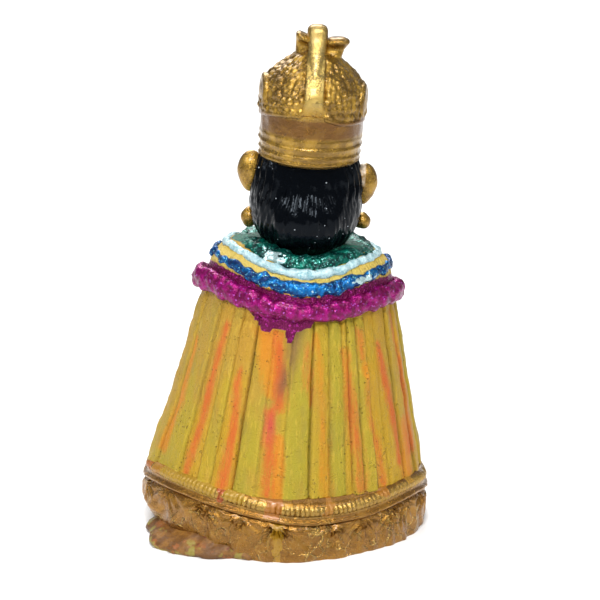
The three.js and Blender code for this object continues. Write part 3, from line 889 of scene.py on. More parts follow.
def egg(centre, half_size, narrow, dent=None):
    """A pointed egg with its lower end this much narrower. dent says how far a direction is pushed in."""
    rise = np.sin(np.linspace(-1, 1, EGG_ROWS) * 1.5)[:, None]
    turn = (np.arange(EGG_COLUMNS) * 2 * np.pi / EGG_COLUMNS)[None, :]
    wide = np.sqrt(1 - rise**2) * (1 - narrow * np.maximum(0, -rise))
    way = np.stack([wide * np.cos(turn), wide * np.sin(turn), rise + 0 * turn], -1)
    if dent is not None:
        way = way * (1 - dent(way))[..., None]
    stacked(np.array(centre) + way * np.array(half_size), "trim_gold")


def ear_fold(way):
    """The hollow inside the ear's rim, which faces forward, and a low ridge across its back."""
    x, y, z = np.moveaxis(way, -1, 0)
    ring = np.hypot(x / 0.75, (z - 0.15) / 0.8)
    hollow = 0.24 * bump(ring, 0.55, 0.2) * smooth_step(y, 0.2, -0.4)
    ridge = -0.08 * bump(z - 0.9 * x, 0.1, 0.16) * smooth_step(y, 0, 0.4)
    return hollow + ridge


egg((13.3, -1, 86.3), (3.3, 2.8, 5), 0.25, dent=lambda way: 0.5 * ear_fold(way))
egg((-13.5, -1, 85), (3.1, 2.7, 5), 0.35, dent=ear_fold)
egg((12.9, -1.8, 74.9), (2.1, 2.1, 2.5), 0.1, dent=lambda way: 0.03 * unevenness(way * 4, 3, 84))
egg((-13.6, -1.8, 75.7), (2.2, 2, 2), 0.1, dent=lambda way: 0.05 * unevenness(way * 4, 3, 85))
egg((0, -12.2, 103.6), (3, 1.3, 4), 0.3)
egg((0, -22.2, 42.3), (2.5, 1.6, 4.2), -0.2)
print(len(skins), "skins in all")

# %% [markdown]
# ## One casting
#
# The skins overlap where they meet. A boolean join keeps only what can be seen, so the result is one closed
# casting, and each face keeps its paint. A last cut with a block makes the underside flat.

# %% Lean, join and cut
for part in skins:
    points = np.empty(len(part.data.vertices) * 3)
    part.data.vertices.foreach_get("co", points)
    part.data.vertices.foreach_set("co", (leaning(points.reshape(-1, 3)) * MM).ravel())
    part.data.update()

block = bpy.data.meshes.new("block")
corners = [(x, y, z) for z in (-0.05, 0) for y in (-0.1, 0.1) for x in (-0.1, 0.1)]
block_faces = [(0, 2, 3, 1), (4, 5, 7, 6), (0, 1, 5, 4), (1, 3, 7, 5), (3, 2, 6, 7), (2, 0, 4, 6)]
block.from_pydata(corners, [], block_faces)
under_floor = bpy.data.objects.new("under_floor", block)
bpy.context.collection.objects.link(under_floor)

first = skins[0]
for part in skins[1:] + [under_floor]:
    join = first.modifiers.new("join", "BOOLEAN")
    join.object, join.solver = part, "MANIFOLD"
    join.operation = "DIFFERENCE" if part is under_floor else "UNION"
    join.material_mode = "TRANSFER"
evaluated = first.evaluated_get(bpy.context.evaluated_depsgraph_get())
casting = bpy.data.meshes.new_from_object(evaluated)
for part in skins + [under_floor]:
    bpy.data.objects.remove(part)
idol = bpy.data.objects.new("painted_idol", casting)
bpy.context.collection.objects.link(idol)
print("joined:", len(casting.vertices), "points")

# %% Crumbs off
def crumbs_of(mesh):
    """The points of every loose bit of a mesh but the largest one."""
    seen, bits = set(), []
    for start in mesh.verts:
        if start in seen:
            continue
        bit, waiting = {start}, [start]
        while waiting:
            point = waiting.pop()
            for edge in point.link_edges:
                other = edge.other_vert(point)
                if other not in bit:
                    bit.add(other)
                    waiting.append(other)
        seen |= bit
        bits.append(bit)
    bits.sort(key=len)
    return [point for bit in bits[:-1] for point in bit]


# the join leaves faces with no area and a few crumbs where two skins only just touch
whole = bmesh.new()
whole.from_mesh(casting)
bmesh.ops.dissolve_degenerate(whole, dist=0.0005 * MM, edges=whole.edges[:])
crumbs = crumbs_of(whole)
bmesh.ops.delete(whole, geom=crumbs, context="VERTS")
odd_edges = sum(not edge.is_manifold for edge in whole.edges)
whole.to_mesh(casting)
whole.free()
print(len(crumbs), "points of crumbs taken off, edges that don't part two faces:", odd_edges)
casting.calc_loop_triangles()
print("casting:", len(casting.vertices), "points,", len(casting.loop_triangles), "triangles")
print("paints on it:", [material.name for material in casting.materials if material])

# %% Where each point is on the upright figure
points = np.empty(len(casting.vertices) * 3)
casting.vertices.foreach_get("co", points)
points = points.reshape(-1, 3) / MM
body = upright(points)
casting.attributes.new("place", "FLOAT_VECTOR", "POINT").data.foreach_set("vector", body.ravel())
casting.shade_smooth()
casting.set_sharp_from_angle(angle=math.radians(60))
print("the skin spans", points.min(0).round(2), points.max(0).round(2))

# %% Its place in the frame
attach(idol, "root")
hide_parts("idol")
print("the skin", idol.name, "stands in for the packed solid idol")

# %% [markdown]
# ## Painting with expressions
#
# A paint is a small network of nodes. Here a signal is the output of a node. Sums and products of signals
# add the Math nodes for them, so a mask reads as a formula.

# %% Signals
class Signal:
    """The output of a node. Arithmetic on signals adds the nodes that work it out."""

    def __init__(self, board, socket):
        self.board, self.socket = board, socket

    def worked(self, operation, *values):
        """The Math node of this operation, with these values put in."""
        return self.board.add("ShaderNodeMath", {"operation": operation}, dict(enumerate(values)))

    def __add__(self, other):
        return self.worked("ADD", self, other)

    def __sub__(self, other):
        return self.worked("SUBTRACT", self, other)

    def __rsub__(self, other):
        return self.worked("SUBTRACT", other, self)

    def __mul__(self, other):
        return self.worked("MULTIPLY", self, other)

    def __truediv__(self, other):
        return self.worked("DIVIDE", self, other)

    def __abs__(self):
        return self.worked("ABSOLUTE", self)

    def most(self, other):
        return self.worked("MAXIMUM", self, other)

    def squared(self):
        return self * self

    def rise(self, low, high):
        """0 up to low and 1 from high on, smoothly in between."""
        inputs = {"Value": self, "From Min": low, "From Max": high}
        return self.board.add("ShaderNodeMapRange", {"interpolation_type": "SMOOTHSTEP"}, inputs)

    __radd__ = __add__
    __rmul__ = __mul__


class Board:
    """The nodes of one paint."""

    def __init__(self, name):
        self.material = paints[name]
        self.material.use_nodes = True
        self.tree = self.material.node_tree
        self.surface = self.tree.nodes["Principled BSDF"]
        self.place = self.add("ShaderNodeAttribute", {"attribute_name": "place"}, {}, "Vector")

    def add(self, kind, settings, inputs, output=0):
        """A new node with these settings, and values or signals in these inputs."""
        node = self.tree.nodes.new(kind)
        for name, value in settings.items():
            setattr(node, name, value)
        for name, value in inputs.items():
            self.plug(value, node.inputs[name])
        return Signal(self, node.outputs[output])

    def plug(self, value, socket):
        if isinstance(value, Signal):
            self.tree.links.new(value.socket, socket)
        else:
            socket.default_value = value

    def set(self, **inputs):
        """Give values or signals to the surface itself."""
        for name, value in inputs.items():
            self.plug(value, self.surface.inputs[name.replace("_", " ")])

    def apart(self, vector, kind="ShaderNodeSeparateXYZ"):
        """The three parts of a vector or of a colour."""
        node = self.add(kind, {}, {0: vector}).socket.node
        return [Signal(self, socket) for socket in node.outputs]

    def blend(self, mask, under, over):
        """One colour where the mask is 0, the other where it is 1."""
        return self.add("ShaderNodeMix", {"data_type": "RGBA"}, {0: mask, 6: under, 7: over}, 2)

    def layered(self, ground, *layers):
        """A ground with layers of (mask, colour) painted over it in turn."""
        for mask, over in layers:
            ground = self.blend(mask, ground, over)
        return ground

    def vector(self, operation, first, second):
        inputs = {0: first, "Scale" if operation == "SCALE" else 1: second}
        return self.add("ShaderNodeVectorMath", {"operation": operation}, inputs)

    def stretched(self, x, y, z):
        """The place on the figure, with its three directions scaled, for strokes instead of dots."""
        return self.vector("MULTIPLY", self.place, (x, y, z))

    def noise(self, size, detail=2, roughness=0.5, at=None):
        """Soft cloudy noise with clouds of about this many mm."""
        inputs = {"Vector": at or self.place, "Scale": 1 / size, "Detail": detail, "Roughness": roughness}
        return self.add("ShaderNodeTexNoise", {}, inputs, "Fac")

    def cells(self, size, output="Distance"):
        """Cells of about this many mm: the distance to their middle, or a colour of their own."""
        inputs = {"Vector": self.place, "Scale": 1 / size}
        return self.add("ShaderNodeTexVoronoi", {}, inputs, output)

    def cell_shades(self, size):
        """Three numbers from 0 to 1 that differ from cell to cell."""
        return self.apart(self.cells(size, "Color"), "ShaderNodeSeparateColor")

    def mark(self, name):
        """A number measured at every point of the casting."""
        return self.add("ShaderNodeAttribute", {"attribute_name": name}, {}, "Fac")

    def bumped(self, height, depth_mm):
        inputs = {"Height": height, "Distance": depth_mm * MM}
        return self.add("ShaderNodeBump", {}, inputs, "Normal")


def colour(red, green, blue):
    """A colour given from 0 to 255, as screens show it."""
    shares = [((c / 255 + 0.055) / 1.055) ** 2.4 if c > 10 else c / 3295 for c in (red, green, blue)]
    return (*shares, 1)


print("the robe's yellow is", [round(c, 3) for c in colour(186, 142, 16)])

# %% [markdown]
# ## Marks for the painter
#
# Some paint sits in known places: orange and amber washes run down certain pleats, magenta ran over the edge
# of its garland, and robe paint was spilled on the hem. Each is measured here as a number at every point,
# and the paints read those numbers.

# %% Where each point is on the robe
x, y, z = body.T
behind = (np.abs(x) ** BACK_POWER + (np.maximum(y, 0) / BACK_SHARE) ** BACK_POWER) ** (1 / BACK_POWER)
before = np.hypot(x, y / DEPTH_SHARE)
half = np.where(y > 0, behind, before)
cos = np.clip(x / np.maximum(half, 1e-6), -1, 1)
degree = np.degrees(np.where(y > 0, np.arccos(cos), 2 * np.pi - np.arccos(cos)))
height = z + x * HEM_TILT * (1 - smooth_step(z, ROBE_BOTTOM, HEM_TILT_TOP))
height = height - shoulder_rise(degree, height)
pleat, _, near, valley = pleat_at(degree)
# how far down from the neck each point of the shoulders is, in mm along the outline
samples = np.linspace(0, 26, 131)
way = drape(samples)[0]
FAR_AWAY = 60.0
distance = np.full(len(body), FAR_AWAY)
upper = np.where((height > 50) & (height < 72))[0]
gaps = np.hypot(half[upper, None] - way[None, :, 0], height[upper, None] - way[None, :, 1])
distance[upper] = samples[gaps.argmin(1)]
print(len(upper), "points are on the shoulders")

# %% Washes, valleys and drips
# each wash is a strength and a line of (height, angle, spread in degrees)
ORANGE = [
    (0.9, [(53, 46.5, 2.2), (46, 44.5, 2.4), (36, 44, 2), (30, 44.2, 2), (22, 42.5, 2), (14, 41.5, 1.6)]),
    (1, [(44, 61, 1), (40, 61, 1.8), (29.5, 63, 2), (22.5, 63, 2.2), (15.5, 62, 2.4)]),
    (1, [(54, 78, 3), (45, 82, 3.4), (35, 84, 2.6)]),
    (1, [(35.5, 79, 2.2), (26, 80.6, 2.2), (14.8, 82, 2.2)]),
    (0.6, [(52, 96, 2.4), (44, 98, 3), (36, 100.5, 2)]),
    (0.85, [(50, 118, 2), (38, 119.5, 2.6), (28, 122, 2.8), (15, 123.5, 2.8)]),
    (0.9, [(54, 128, 2.2), (46, 129, 1.6)]),
    (0.8, [(42, 130, 1.5), (32, 131, 1.8), (24, 134.5, 2), (15, 136, 2)]),
    (1, [(50.5, 141.5, 1.6), (43, 144, 2.6), (35, 147, 2.8), (27, 149, 2.2), (19, 148.5, 1.6)]),
    (0.9, [(56, 159.5, 3), (47.5, 163, 2.4), (33, 166, 3.4), (20, 163, 4)]),
    (0.7, [(50, 200, 2.4), (20, 203, 2)]),
    (0.7, [(48, 238, 2.4), (16, 240, 2.4)]),
    (0.7, [(44, 285, 2.4), (15, 283, 2)]),
    (0.6, [(50, 321, 2.4), (18, 319, 2)]),
    (0.6, [(50, 345, 2), (22, 347, 2)]),
]
AMBER = [
    (0.8, [(47, 20, 2), (32, 22, 3), (19, 19, 4)]),
    (0.9, [(54, 72, 6.5), (46, 76.5, 5), (38, 80.5, 3.5)]),
    (1, [(30, 84.8, 1.6), (22, 86, 1.8), (13, 86, 1.8)]),
    (0.6, [(54, 100.5, 2), (38, 104.5, 2.6), (26.5, 106, 2.8), (13, 107.8, 2.8)]),
    (0.95, [(46, 130, 2.2), (42, 130.5, 1.5)]),
    (0.8, [(30, 158, 4), (15, 155, 5)]),
    (0.6, [(50, 215, 3), (20, 218, 4)]),
    (0.6, [(50, 262, 3), (16, 262, 4)]),
    (0.6, [(50, 304, 3), (16, 302, 4)]),
]


def washed(washes):
    """How strongly a kind of wash covers each point."""
    covers = np.zeros(len(body))
    for strength, line in washes:
        levels, at, spread = np.array(line).T
        order = np.argsort(levels)
        middle = np.interp(height, levels[order], at[order])
        wide = 1.7 * np.interp(height, levels[order], spread[order])
        aside = (degree - middle + 180) % 360 - 180
        low, high = levels.min(), levels.max()
        ends = smooth_step(height, low - 1.6, low + 1) * smooth_step(height, high + 1.6, high - 1)
        covers = np.maximum(covers, strength * np.exp(-((np.abs(aside) / wide) ** 2)) * ends)
    return covers


def add_mark(name, values):
    """Give every point a number that the paints can read by this name."""
    casting.attributes.new(name, "FLOAT", "POINT").data.foreach_set("value", values.astype(np.float32))
    print(name, "covers", round(float((values > 0.5).mean() * 100), 1), "% of the points")


hem_level = height - by_angle(HEM_LIFT, degree)
at_back = smooth_step(body[:, 1], -5, 0)
# a brown stain hangs under the drips, and its middle wanders with the height
stain_at = np.interp(height, [36, 46, 56], [82, 87, 90])
# the shoulders show bare and pale between the white rope and the blue one
between_ropes = smooth_step(distance, 11, 12.5) * smooth_step(distance, 17, 15.5)
# white paint was smeared below the green rope on one side, and over the blue rope on the other
below_green = bump(degree, 66, 11) * smooth_step(distance, 6.6, 8.2) * smooth_step(distance, 12, 10)
over_blue = bump(degree, 132, 10) * bump(distance, 15.4, 0.9)
past_blue = distance - rope_middle(GARLANDS[2], np.radians(degree))
add_mark("orange", washed(ORANGE))
add_mark("amber", washed(AMBER))
add_mark("valley", np.exp(-((near / 0.55) ** 1.5)) * np.minimum(1, valley_depths[valley]))
add_mark("edge", bump(near, 1.25, 0.4))
add_mark("tone", pleat_tones[pleat])
add_mark("drips", dripped(degree, height, 0.35) * smooth_step(distance, 15, 16.2) * at_back)
add_mark("greened", smooth_step(distance, 9.6, 8.2) * (height > 60))
add_mark("smear", bump(degree, stain_at, 3.8) * smooth_step(height, 36, 42))
# the bead row, which the gold paint lightens as a painted highlight
add_mark("bead_row", smooth_step(hem_level, 10.6, 11.2) * smooth_step(hem_level, 13.6, 13))
add_mark("pinked", bump(degree, 79.5, 3) * bump(height, 31.5, 3.4))
add_mark("smeared_white", (below_green + over_blue) * (height > 58))
add_mark("chipped", smooth_step(past_blue, 0.7, 1.6) * (height > 50))
add_mark("pale", between_ropes * at_back * (height > 56))

# %% Spills of robe paint over the hem
# each is a range of angles, a lowest and a highest level above the hem's line, and how orange it is
SPILLS = [
    (-12, 4, 10.6, 16, 0.1), (5, 17, 10.8, 16, 0.75), (17, 27, 10.6, 16, 0.35), (27, 60, 10.9, 16, 0),
    (60.5, 64, 10.4, 16, 1), (64, 73, 11.6, 16, 0), (81.5, 88.5, 10, 16, 0.6), (86.2, 89.8, -3, 9, 0.1),
    (106.5, 109.5, 10.8, 16, 0.45), (133, 137, 12, 16, 0.5), (150, 156, 12.4, 16, 0.2),
]
spill, spill_tone = np.zeros(len(body)), np.zeros(len(body))
ragged = unevenness(body, 2.4, 91) + 0.6 * unevenness(body, 1.1, 92)
for low, high, bottom, top, tone in SPILLS:
    middle, reach = (low + high) / 2, (high - low) / 2
    aside = np.abs((degree - middle + 180) % 360 - 180) + 0.7 * ragged
    inside = smooth_step(aside, reach + 0.5, reach - 0.5)
    inside *= smooth_step(hem_level, bottom - 0.4, bottom + 0.4)
    inside *= smooth_step(hem_level, top + 0.4, top - 0.4)
    spill_tone = np.where(inside > spill, tone, spill_tone)
    spill = np.maximum(spill, inside)
add_mark("spill", spill)
add_mark("spill_tone", spill_tone)

# %% [markdown]
# ## The robe's paint
#
# The robe was brushed yellow, with greener and browner strokes along the pleats, then washed with orange and
# amber while wet. A brown stain hangs under the drips and a pinkish smear lies beside a pleat. Small pits,
# dried crumbs and brush marks are left in the surface. Painted shade darkens the valleys and the pits, and
# painted highlights lighten the pleats' edges and the crumbs.

# %% Robe
YELLOW, GREENER, TAN = colour(186, 142, 16), colour(158, 148, 34), colour(176, 132, 46)
# the darkest colour here is painted shade, for the valleys and the pits
DEEP_ORANGE, WASHED_AMBER, RECESS_SHADE = colour(200, 84, 24), colour(204, 126, 10), colour(74, 42, 6)
MAGENTA = colour(104, 0, 66)

board = Board("robe_yellow")
strokes = board.noise(2.2, 4, 0.6, board.stretched(1, 1, 0.16))
fine_strokes = board.noise(0.8, 3, 0.6, board.stretched(1, 1, 0.12))
crust = board.noise(0.55, 3, 0.65)
x, y, z = board.apart(board.place)
upper_left = z.rise(24, 46) * x.rise(0, 14)
browned = (board.noise(6, 3, 0.6, board.stretched(1, 1, 0.35)) + upper_left * 0.3).rise(0.5, 0.75)
elsewhere = board.vector("ADD", board.stretched(1, 1, 0.3), (9, 4, 2))
olive = board.noise(4, 3, 0.6, elsewhere).rise(0.5, 0.68)
yellow = board.layered(
    YELLOW,
    (board.mark("tone") * 0.8 + (strokes - 0.5) * 0.6, GREENER),
    (browned * 0.6, TAN),
    (olive * 0.45, colour(146, 130, 46)),
    ((fine_strokes - 0.5).rise(0.02, 0.2) * 0.35, colour(214, 178, 60)),
)
brushed = (strokes - 0.5) * 1.1 + (fine_strokes - 0.5) * 0.8 + (crust - 0.5) * 0.4
amber = (board.mark("amber") + (strokes - 0.5) * 0.9 + (crust - 0.5) * 0.3).rise(0.25, 0.85)
wash = (board.mark("orange") + brushed).rise(0.2, 1.15)
smeared = board.mark("smear") * (strokes + 0.45).rise(0.6, 0.95)
pinked = board.mark("pinked") * (fine_strokes + 0.5).rise(0.7, 1)
pits = board.cells(1.1).rise(0.17, 0.09) * board.noise(7, 2).rise(0.54, 0.6)
painted = board.layered(
    yellow,
    (amber * 0.9, WASHED_AMBER),
    (wash * 0.85, DEEP_ORANGE),
    (smeared * 0.85, colour(116, 80, 48)),
    (pinked * 0.7, colour(190, 62, 62)),
    # painted highlight: the pleats' edges are painted lighter, where light catches them
    (board.mark("edge") * (strokes - 0.2) * 0.6, colour(216, 180, 60)),
    # painted shade: the valleys are darkened, where shade falls in them
    (board.mark("valley") * (0.1 + strokes * 0.9) * 0.75, RECESS_SHADE),
    (board.mark("pale") * (0.5 + strokes * 0.5), colour(216, 194, 104)),
    # painted shade: the small pits are darkened as well
    (pits * 0.85, RECESS_SHADE),
)
print("robe yellow, washes and stains mixed")

# %% Drips and crumbs on the robe
ragged = (board.noise(0.9, 3) - 0.5) * 0.5
run = (board.mark("drips") + ragged).rise(0.4, 0.6)
under_green = (board.mark("greened") + ragged).rise(0.4, 0.6)
sparkle = board.cell_shades(0.34)[0].rise(0.86, 0.89)
magenta = board.blend(sparkle * 0.7, MAGENTA, colour(176, 40, 150))
green = board.blend(board.noise(1.3, 3, 0.6).rise(0.4, 0.62), colour(0, 52, 42), colour(8, 104, 84))
green = board.blend(sparkle * 0.5, green, colour(70, 170, 140))
crumbs = board.cells(0.9).rise(0.34, 0.16) * board.noise(2.6, 3).rise(0.54, 0.62)
crumbs = crumbs * (board.mark("edge") * 0.9 + 0.25) * (1 - run)
painted = board.layered(
    painted,
    (run, magenta),
    (under_green, green),
    # the dried crumbs are real, and their light yellow is a painted highlight on them
    (crumbs * 0.6, colour(230, 194, 92)),
)
grain = crumbs * 1.6 + board.noise(0.3, 3, 0.6) * 0.3 + crust * 0.6
grain = grain + strokes * 0.6 + fine_strokes * 0.5 - pits * 0.9
board.set(Base_Color=painted, Roughness=0.4 + strokes * 0.2 - run * 0.25, Metallic=run * 0.5)
board.set(Specular_IOR_Level=0.35, Normal=board.bumped(grain + board.mark("valley") * crust * 0.8, 0.6))
print("robe painted")

# %% [markdown]
# ## Gold paint
#
# The gold is a metallic paint: tiny bright flakes in a brown binder. It is darkest where it pooled or wore
# thin, and sparkles on edges. It is made as a rough metal whose colour and slope change from flake to flake.
# Fine creases run over the flounce, and their lighter colour is a painted glint. Robe paint lies on it where
# that was spilled. Painted highlights lighten the strap and the bead row, and painted shade darkens the
# smooth part of the band.

# %% Gold
board = Board("trim_gold")
worn = board.noise(3.2, 4, 0.6)
flake = board.noise(0.22, 2, 0.6)
chips = board.cell_shades(0.3)
x, y, z = board.apart(board.place)
hem_gold = board.blend(worn.rise(0.3, 0.75), colour(130, 86, 24), colour(158, 112, 38))
crown_gold = board.blend(worn.rise(0.35, 0.7), colour(118, 86, 24), colour(170, 132, 46))
# painted highlight: the strap over the cap is painted paler, where light catches it
strap = abs(x).rise(2.3, 1.7) * y.rise(0, 3) * z.rise(103.5, 107)
# painted shade: the smooth part of the band is painted darker, as shade and dark reflection on it
shaded_band = z.rise(97.4, 98.4) * z.rise(102.6, 101.8) * abs(x).rise(15, 14)
ear_patch = x.rise(-13.8, -13) * x.rise(-11.4, -12) * z.rise(84.5, 86) * z.rise(91, 90)
# the creases are real relief, and their lighter colour is a painted glint
glinting_crease = abs(board.noise(3, 2, 0.5, board.stretched(1, 1, 0.7)) - 0.5).rise(0.035, 0) * z.rise(12, 8)
glinting_crease = glinting_crease * board.noise(5, 2).rise(0.42, 0.56)
spilt = (board.mark("spill") + (board.noise(0.7, 3) - 0.5) * 0.7).rise(0.4, 0.6) * 0.85
robe_paint = board.blend(board.mark("spill_tone"), colour(164, 128, 18), colour(158, 62, 10))
gold = board.layered(
    hem_gold,
    (z.rise(60, 80), crown_gold),
    (flake.rise(0.5, 0.75) * 0.25, colour(236, 210, 136)),
    # painted highlight: the bead row is painted lighter
    (board.mark("bead_row") * 0.3, colour(214, 186, 96)),
    # painted highlight on the strap
    (strap * 0.3, colour(226, 206, 130)),
    # painted shade on the smooth part of the band
    (shaded_band * 0.75, colour(102, 60, 10)),
    # painted glint on the creases
    (glinting_crease * 0.4, colour(228, 196, 110)),
    (spilt, robe_paint),
    (ear_patch * worn.rise(0.3, 0.5) * 0.8, colour(196, 184, 168)),
)
relief = flake * 0.4 + board.noise(0.9, 3) * 0.9 + chips[0] * 0.15 + glinting_crease * 1.5
board.set(Base_Color=gold, Metallic=0.82 - spilt * 0.75 - ear_patch * 0.5, Roughness=0.2 + worn * 0.14)
board.set(Coat_Weight=0.35, Coat_Roughness=0.12, Normal=board.bumped(relief, 0.2))
print("gold done")

# %% [markdown]
# ## Black hair
#
# The hair is glossy black enamel. It needs dark surroundings to look black, and small panels of light to
# glint along the strands. Under the chin the same skin is the neck, so it is painted like the face there.

# %% Hair
board = Board("hair_black")
streak = board.noise(1.2, 3, 0.6, board.stretched(1, 1, 0.25))
speck = board.cells(1.7).rise(0.11, 0.07) * board.noise(4, 1).rise(0.47, 0.52)
x, y, z = board.apart(board.place)
neck = y.rise(-1.5, -2.5) * z.rise(76.5, 75.5) * abs(x).rise(7.6, 7)
black = board.blend(speck * 0.8, (0.001, 0.0015, 0.0025, 1), colour(190, 200, 205))
board.set(Base_Color=board.blend(neck, black, colour(196, 128, 40)), Specular_IOR_Level=0.11)
board.set(Roughness=0.02 + streak * 0.04 + neck * 0.3, Specular_Tint=(0.75, 0.87, 1, 1))
board.set(Normal=board.bumped(streak + board.noise(0.5, 2) * 0.3, 0.12))
print("hair done")

# %% [markdown]
# ## Glitter
#
# The garlands are glitter in thick clear paint over a ground colour. A cell pattern gives each flake its own
# colour and its own tilt, so flakes flash one by one. Only some flakes are bright: the rest stay dark.

# %% Glitter
def glitter(name, ground, flakes, second, share, second_share, shine):
    """Paint a garland. share and second_share of its flakes are bright and very bright."""
    board = Board(name)
    tint = board.cells(0.34, "Color")
    bright = board.apart(tint, "ShaderNodeSeparateColor")[0].rise(1 - share - 0.04, 1 - share)
    flash = board.cell_shades(0.26)[0].rise(1 - second_share - 0.02, 1 - second_share)
    lumps = board.noise(1.7, 2, 0.5)
    layers = (lumps.rise(0.36, 0.66), flakes), (bright * 0.5, flakes), (flash * 0.8, second)
    mixed = board.layered(ground, *layers)
    if name in ("glitter_green", "glitter_blue"):
        smeared = (board.mark("smeared_white") + (lumps - 0.5) * 2.4).rise(0.5, 0.6)
        mixed = board.blend(smeared, mixed, colour(178, 206, 208))
    if name == "glitter_blue":
        bare = (board.mark("chipped") + (board.noise(2.6, 3) - 0.5) * 3.2).rise(0.95, 1.05)
        mixed = board.blend(bare, mixed, colour(206, 168, 74))
    tilt = board.vector("SCALE", board.vector("SUBTRACT", tint, (0.5, 0.5, 0.5)), bright.most(flash) * 0.45)
    wet = board.bumped(lumps + board.noise(0.45, 2) * 0.2, 0.8)
    facing = board.vector("NORMALIZE", board.vector("ADD", wet, tilt), (0, 0, 0))
    board.set(Base_Color=mixed, Metallic=shine, Roughness=0.36 - bright.most(flash) * 0.12)
    board.set(Coat_Weight=0.12, Coat_Roughness=0.1, Specular_IOR_Level=0.35, Normal=facing)
    print(name, "done")


glitter("glitter_green", colour(0, 40, 40), colour(0, 104, 88), colour(130, 214, 206), 0.16, 0.04, 0.55)
glitter("glitter_white", colour(132, 172, 180), colour(186, 212, 216), colour(96, 172, 184), 0.3, 0.03, 0.1)
glitter("glitter_blue", colour(0, 40, 90), colour(0, 104, 172), colour(130, 220, 240), 0.16, 0.04, 0.6)
glitter("glitter_magenta", colour(104, 0, 62), colour(150, 0, 108), colour(196, 100, 216), 0.08, 0.02, 0.55)

# %% [markdown]
# ## Face and base
#
# The face is matt skin-gold with painted eyes, brows and lips, and a plain mark on the forehead. The base is
# bare plaster smeared with what was left on the brush: gold, red-brown, tan and a little green. Its dark red
# is partly that paint and partly painted shade under the flounce's edge.

# %% Face
board = Board("face_gold")
x, y, z = board.apart(board.place)
side = abs(x)
front = y.rise(-6, -8)
skin_tone = board.blend(board.noise(2.5, 3).rise(0.35, 0.7), colour(196, 128, 40), colour(214, 152, 60))
from_eye = side - EYE_X
eye = ((from_eye / 1.7).squared() + ((z - 84.35) / 0.75).squared()).rise(1.05, 0.9)
iris = (from_eye.squared() + (z - 84.5).squared()).rise(0.42, 0.32) * z.rise(84.95, 84.85)
lash = abs(z - 85 + from_eye.squared() * 0.13).rise(0.22, 0.14) * abs(from_eye).rise(2.3, 2.1)
lid = z.rise(84.85, 84.95) * abs(from_eye).rise(1.9, 1.7) * z.rise(85.9, 85.7)
brow = abs(z - 86.9 + (side - 4.2).squared() * 0.08).rise(0.32, 0.2) * abs(side - 4.4).rise(2.6, 2.3)
shade = side.rise(2, 1.2) * abs(z - 79.55).rise(0.4, 0.15)
mouth = abs(z - 77.85 - x.squared() * 0.03).rise(0.13, 0.06) * side.rise(2, 1.7)
lips = ((side / 2).squared() + ((z - 77.8) / 1.15).squared()).rise(1.05, 0.85)
mark = side.rise(0.75, 0.6) * z.rise(86, 86.4) * z.rise(90.9, 90.4) * (1 - side.rise(0.3, 0.2))
spot = side.rise(0.3, 0.22) * z.rise(86.8, 87) * z.rise(90.4, 90)
painted = board.layered(
    skin_tone,
    (shade * front * 0.6, colour(140, 76, 26)),
    (lips * front, colour(168, 34, 24)),
    (mouth * front * 0.8, colour(92, 12, 10)),
    (eye * front, colour(230, 226, 214)),
    (iris * front, colour(16, 11, 9)),
    (lid * front, colour(186, 118, 42)),
    (lash.most(brow) * front, colour(20, 13, 10)),
    (mark * front, colour(236, 232, 220)),
    (spot * front, colour(190, 24, 18)),
)
board.set(Base_Color=painted, Metallic=0.2, Roughness=0.4, Normal=board.bumped(board.noise(0.6, 3), 0.05))
print("face painted")

# %% Base
board = Board("base_plaster")
patches = board.noise(4, 4, 0.6)
smears_and_shade = board.noise(6, 3, 0.6, board.stretched(1, 1, 1.6))
level = board.apart(board.place)[2]
band = level.rise(0.6, 1.6) * level.rise(4.6, 3.2)
low = level.rise(2.4, 0.8)
plaster = board.layered(
    colour(104, 66, 22),
    (patches.rise(0.42, 0.6), colour(138, 94, 34)),
    # the dark red here is partly red-brown paint and partly painted shade under the flounce's edge
    (smears_and_shade.rise(0.53, 0.6) * band, colour(98, 24, 8)),
    (board.noise(3.4, 3).rise(0.58, 0.64) * low * 0.7, colour(158, 92, 40)),
    (low * board.noise(3.8, 3).rise(0.54, 0.6) * 0.8, colour(148, 136, 54)),
)
board.set(Base_Color=plaster, Metallic=level.rise(2, 3.6) * 0.6, Roughness=0.45)
board.set(Normal=board.bumped(board.noise(0.8, 4, 0.6), 0.35))
print("base painted")

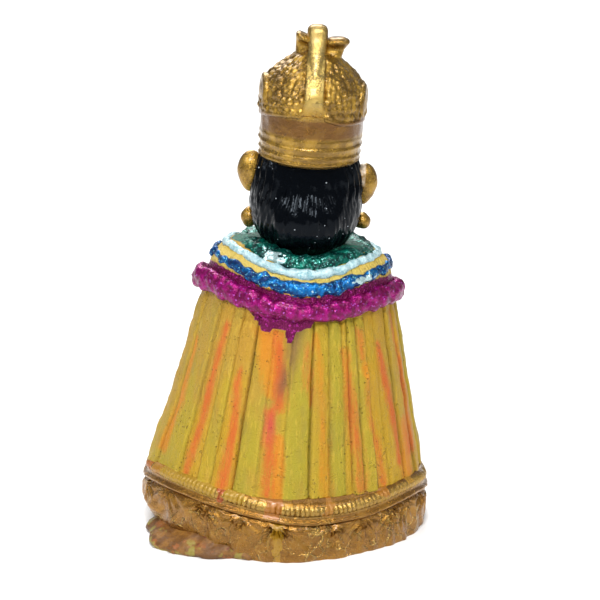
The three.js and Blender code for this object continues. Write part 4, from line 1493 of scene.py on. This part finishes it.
# %% [markdown]
# ## Floor and light
#
# A plain pale floor and soft light from large panels. The surround is kept dim, so that the gold and the
# hair have dark parts beside their highlights, as under a lamp in a room.

# %% Studio
floor_mesh = bpy.data.meshes.new("floor")
floor_mesh.from_pydata([(-4, -4, 0), (4, -4, 0), (4, 4, 0), (-4, 4, 0)], [], [(0, 1, 2, 3)])
floor = bpy.data.objects.new("floor", floor_mesh)
bpy.context.collection.objects.link(floor)
floor_paint = bpy.data.materials.new("pale_floor")
floor_paint.use_nodes = True
floor_inputs = floor_paint.node_tree.nodes["Principled BSDF"].inputs
floor_inputs["Base Color"].default_value = (0.9, 0.9, 0.9, 1)
floor_inputs["Roughness"].default_value = 0.9
floor_mesh.materials.append(floor_paint)

surround = bpy.data.worlds.new("surround")
surround.use_nodes = True
surround_inputs = surround.node_tree.nodes["Background"].inputs
surround_inputs["Color"].default_value = (1, 1, 1, 1)
surround_inputs["Strength"].default_value = 0.3
bpy.context.scene.world = surround
# the paints are shown as they are, without the curve that pales strong colours
bpy.context.scene.view_settings.view_transform = "Standard"

# in metres, as everything in the scene is: every panel is this far from the middle of the figure
PANEL_DISTANCE, PANEL_AIM = 0.9, Vector((0, 0, 0.06))


def panel(name, azimuth, elevation, width, tall, watts):
    """A soft light that faces the figure. Azimuth 0 is in front of it and 180 behind."""
    light = bpy.data.lights.new(name, "AREA")
    light.shape, light.size, light.size_y, light.energy = "RECTANGLE", width, tall, watts
    lamp = bpy.data.objects.new(name, light)
    bpy.context.collection.objects.link(lamp)
    a, e = math.radians(azimuth), math.radians(elevation)
    way = Vector((math.sin(a) * math.cos(e), -math.cos(a) * math.cos(e), math.sin(e)))
    lamp.location = PANEL_AIM + way * PANEL_DISTANCE
    lamp.rotation_euler = (-way).to_track_quat("-Z", "Y").to_euler()


panel("key_panel", 176, 43, 0.32, 0.22, 5)
panel("high_panel", 183, 72, 0.15, 0.15, 3.4)
panel("left_panel", 130, 40, 0.3, 0.3, 1.6)
panel("right_panel", 235, 40, 0.3, 0.3, 1)
panel("front_panel", 10, 40, 0.5, 0.5, 6.5)
print("five panels and a dim surround")
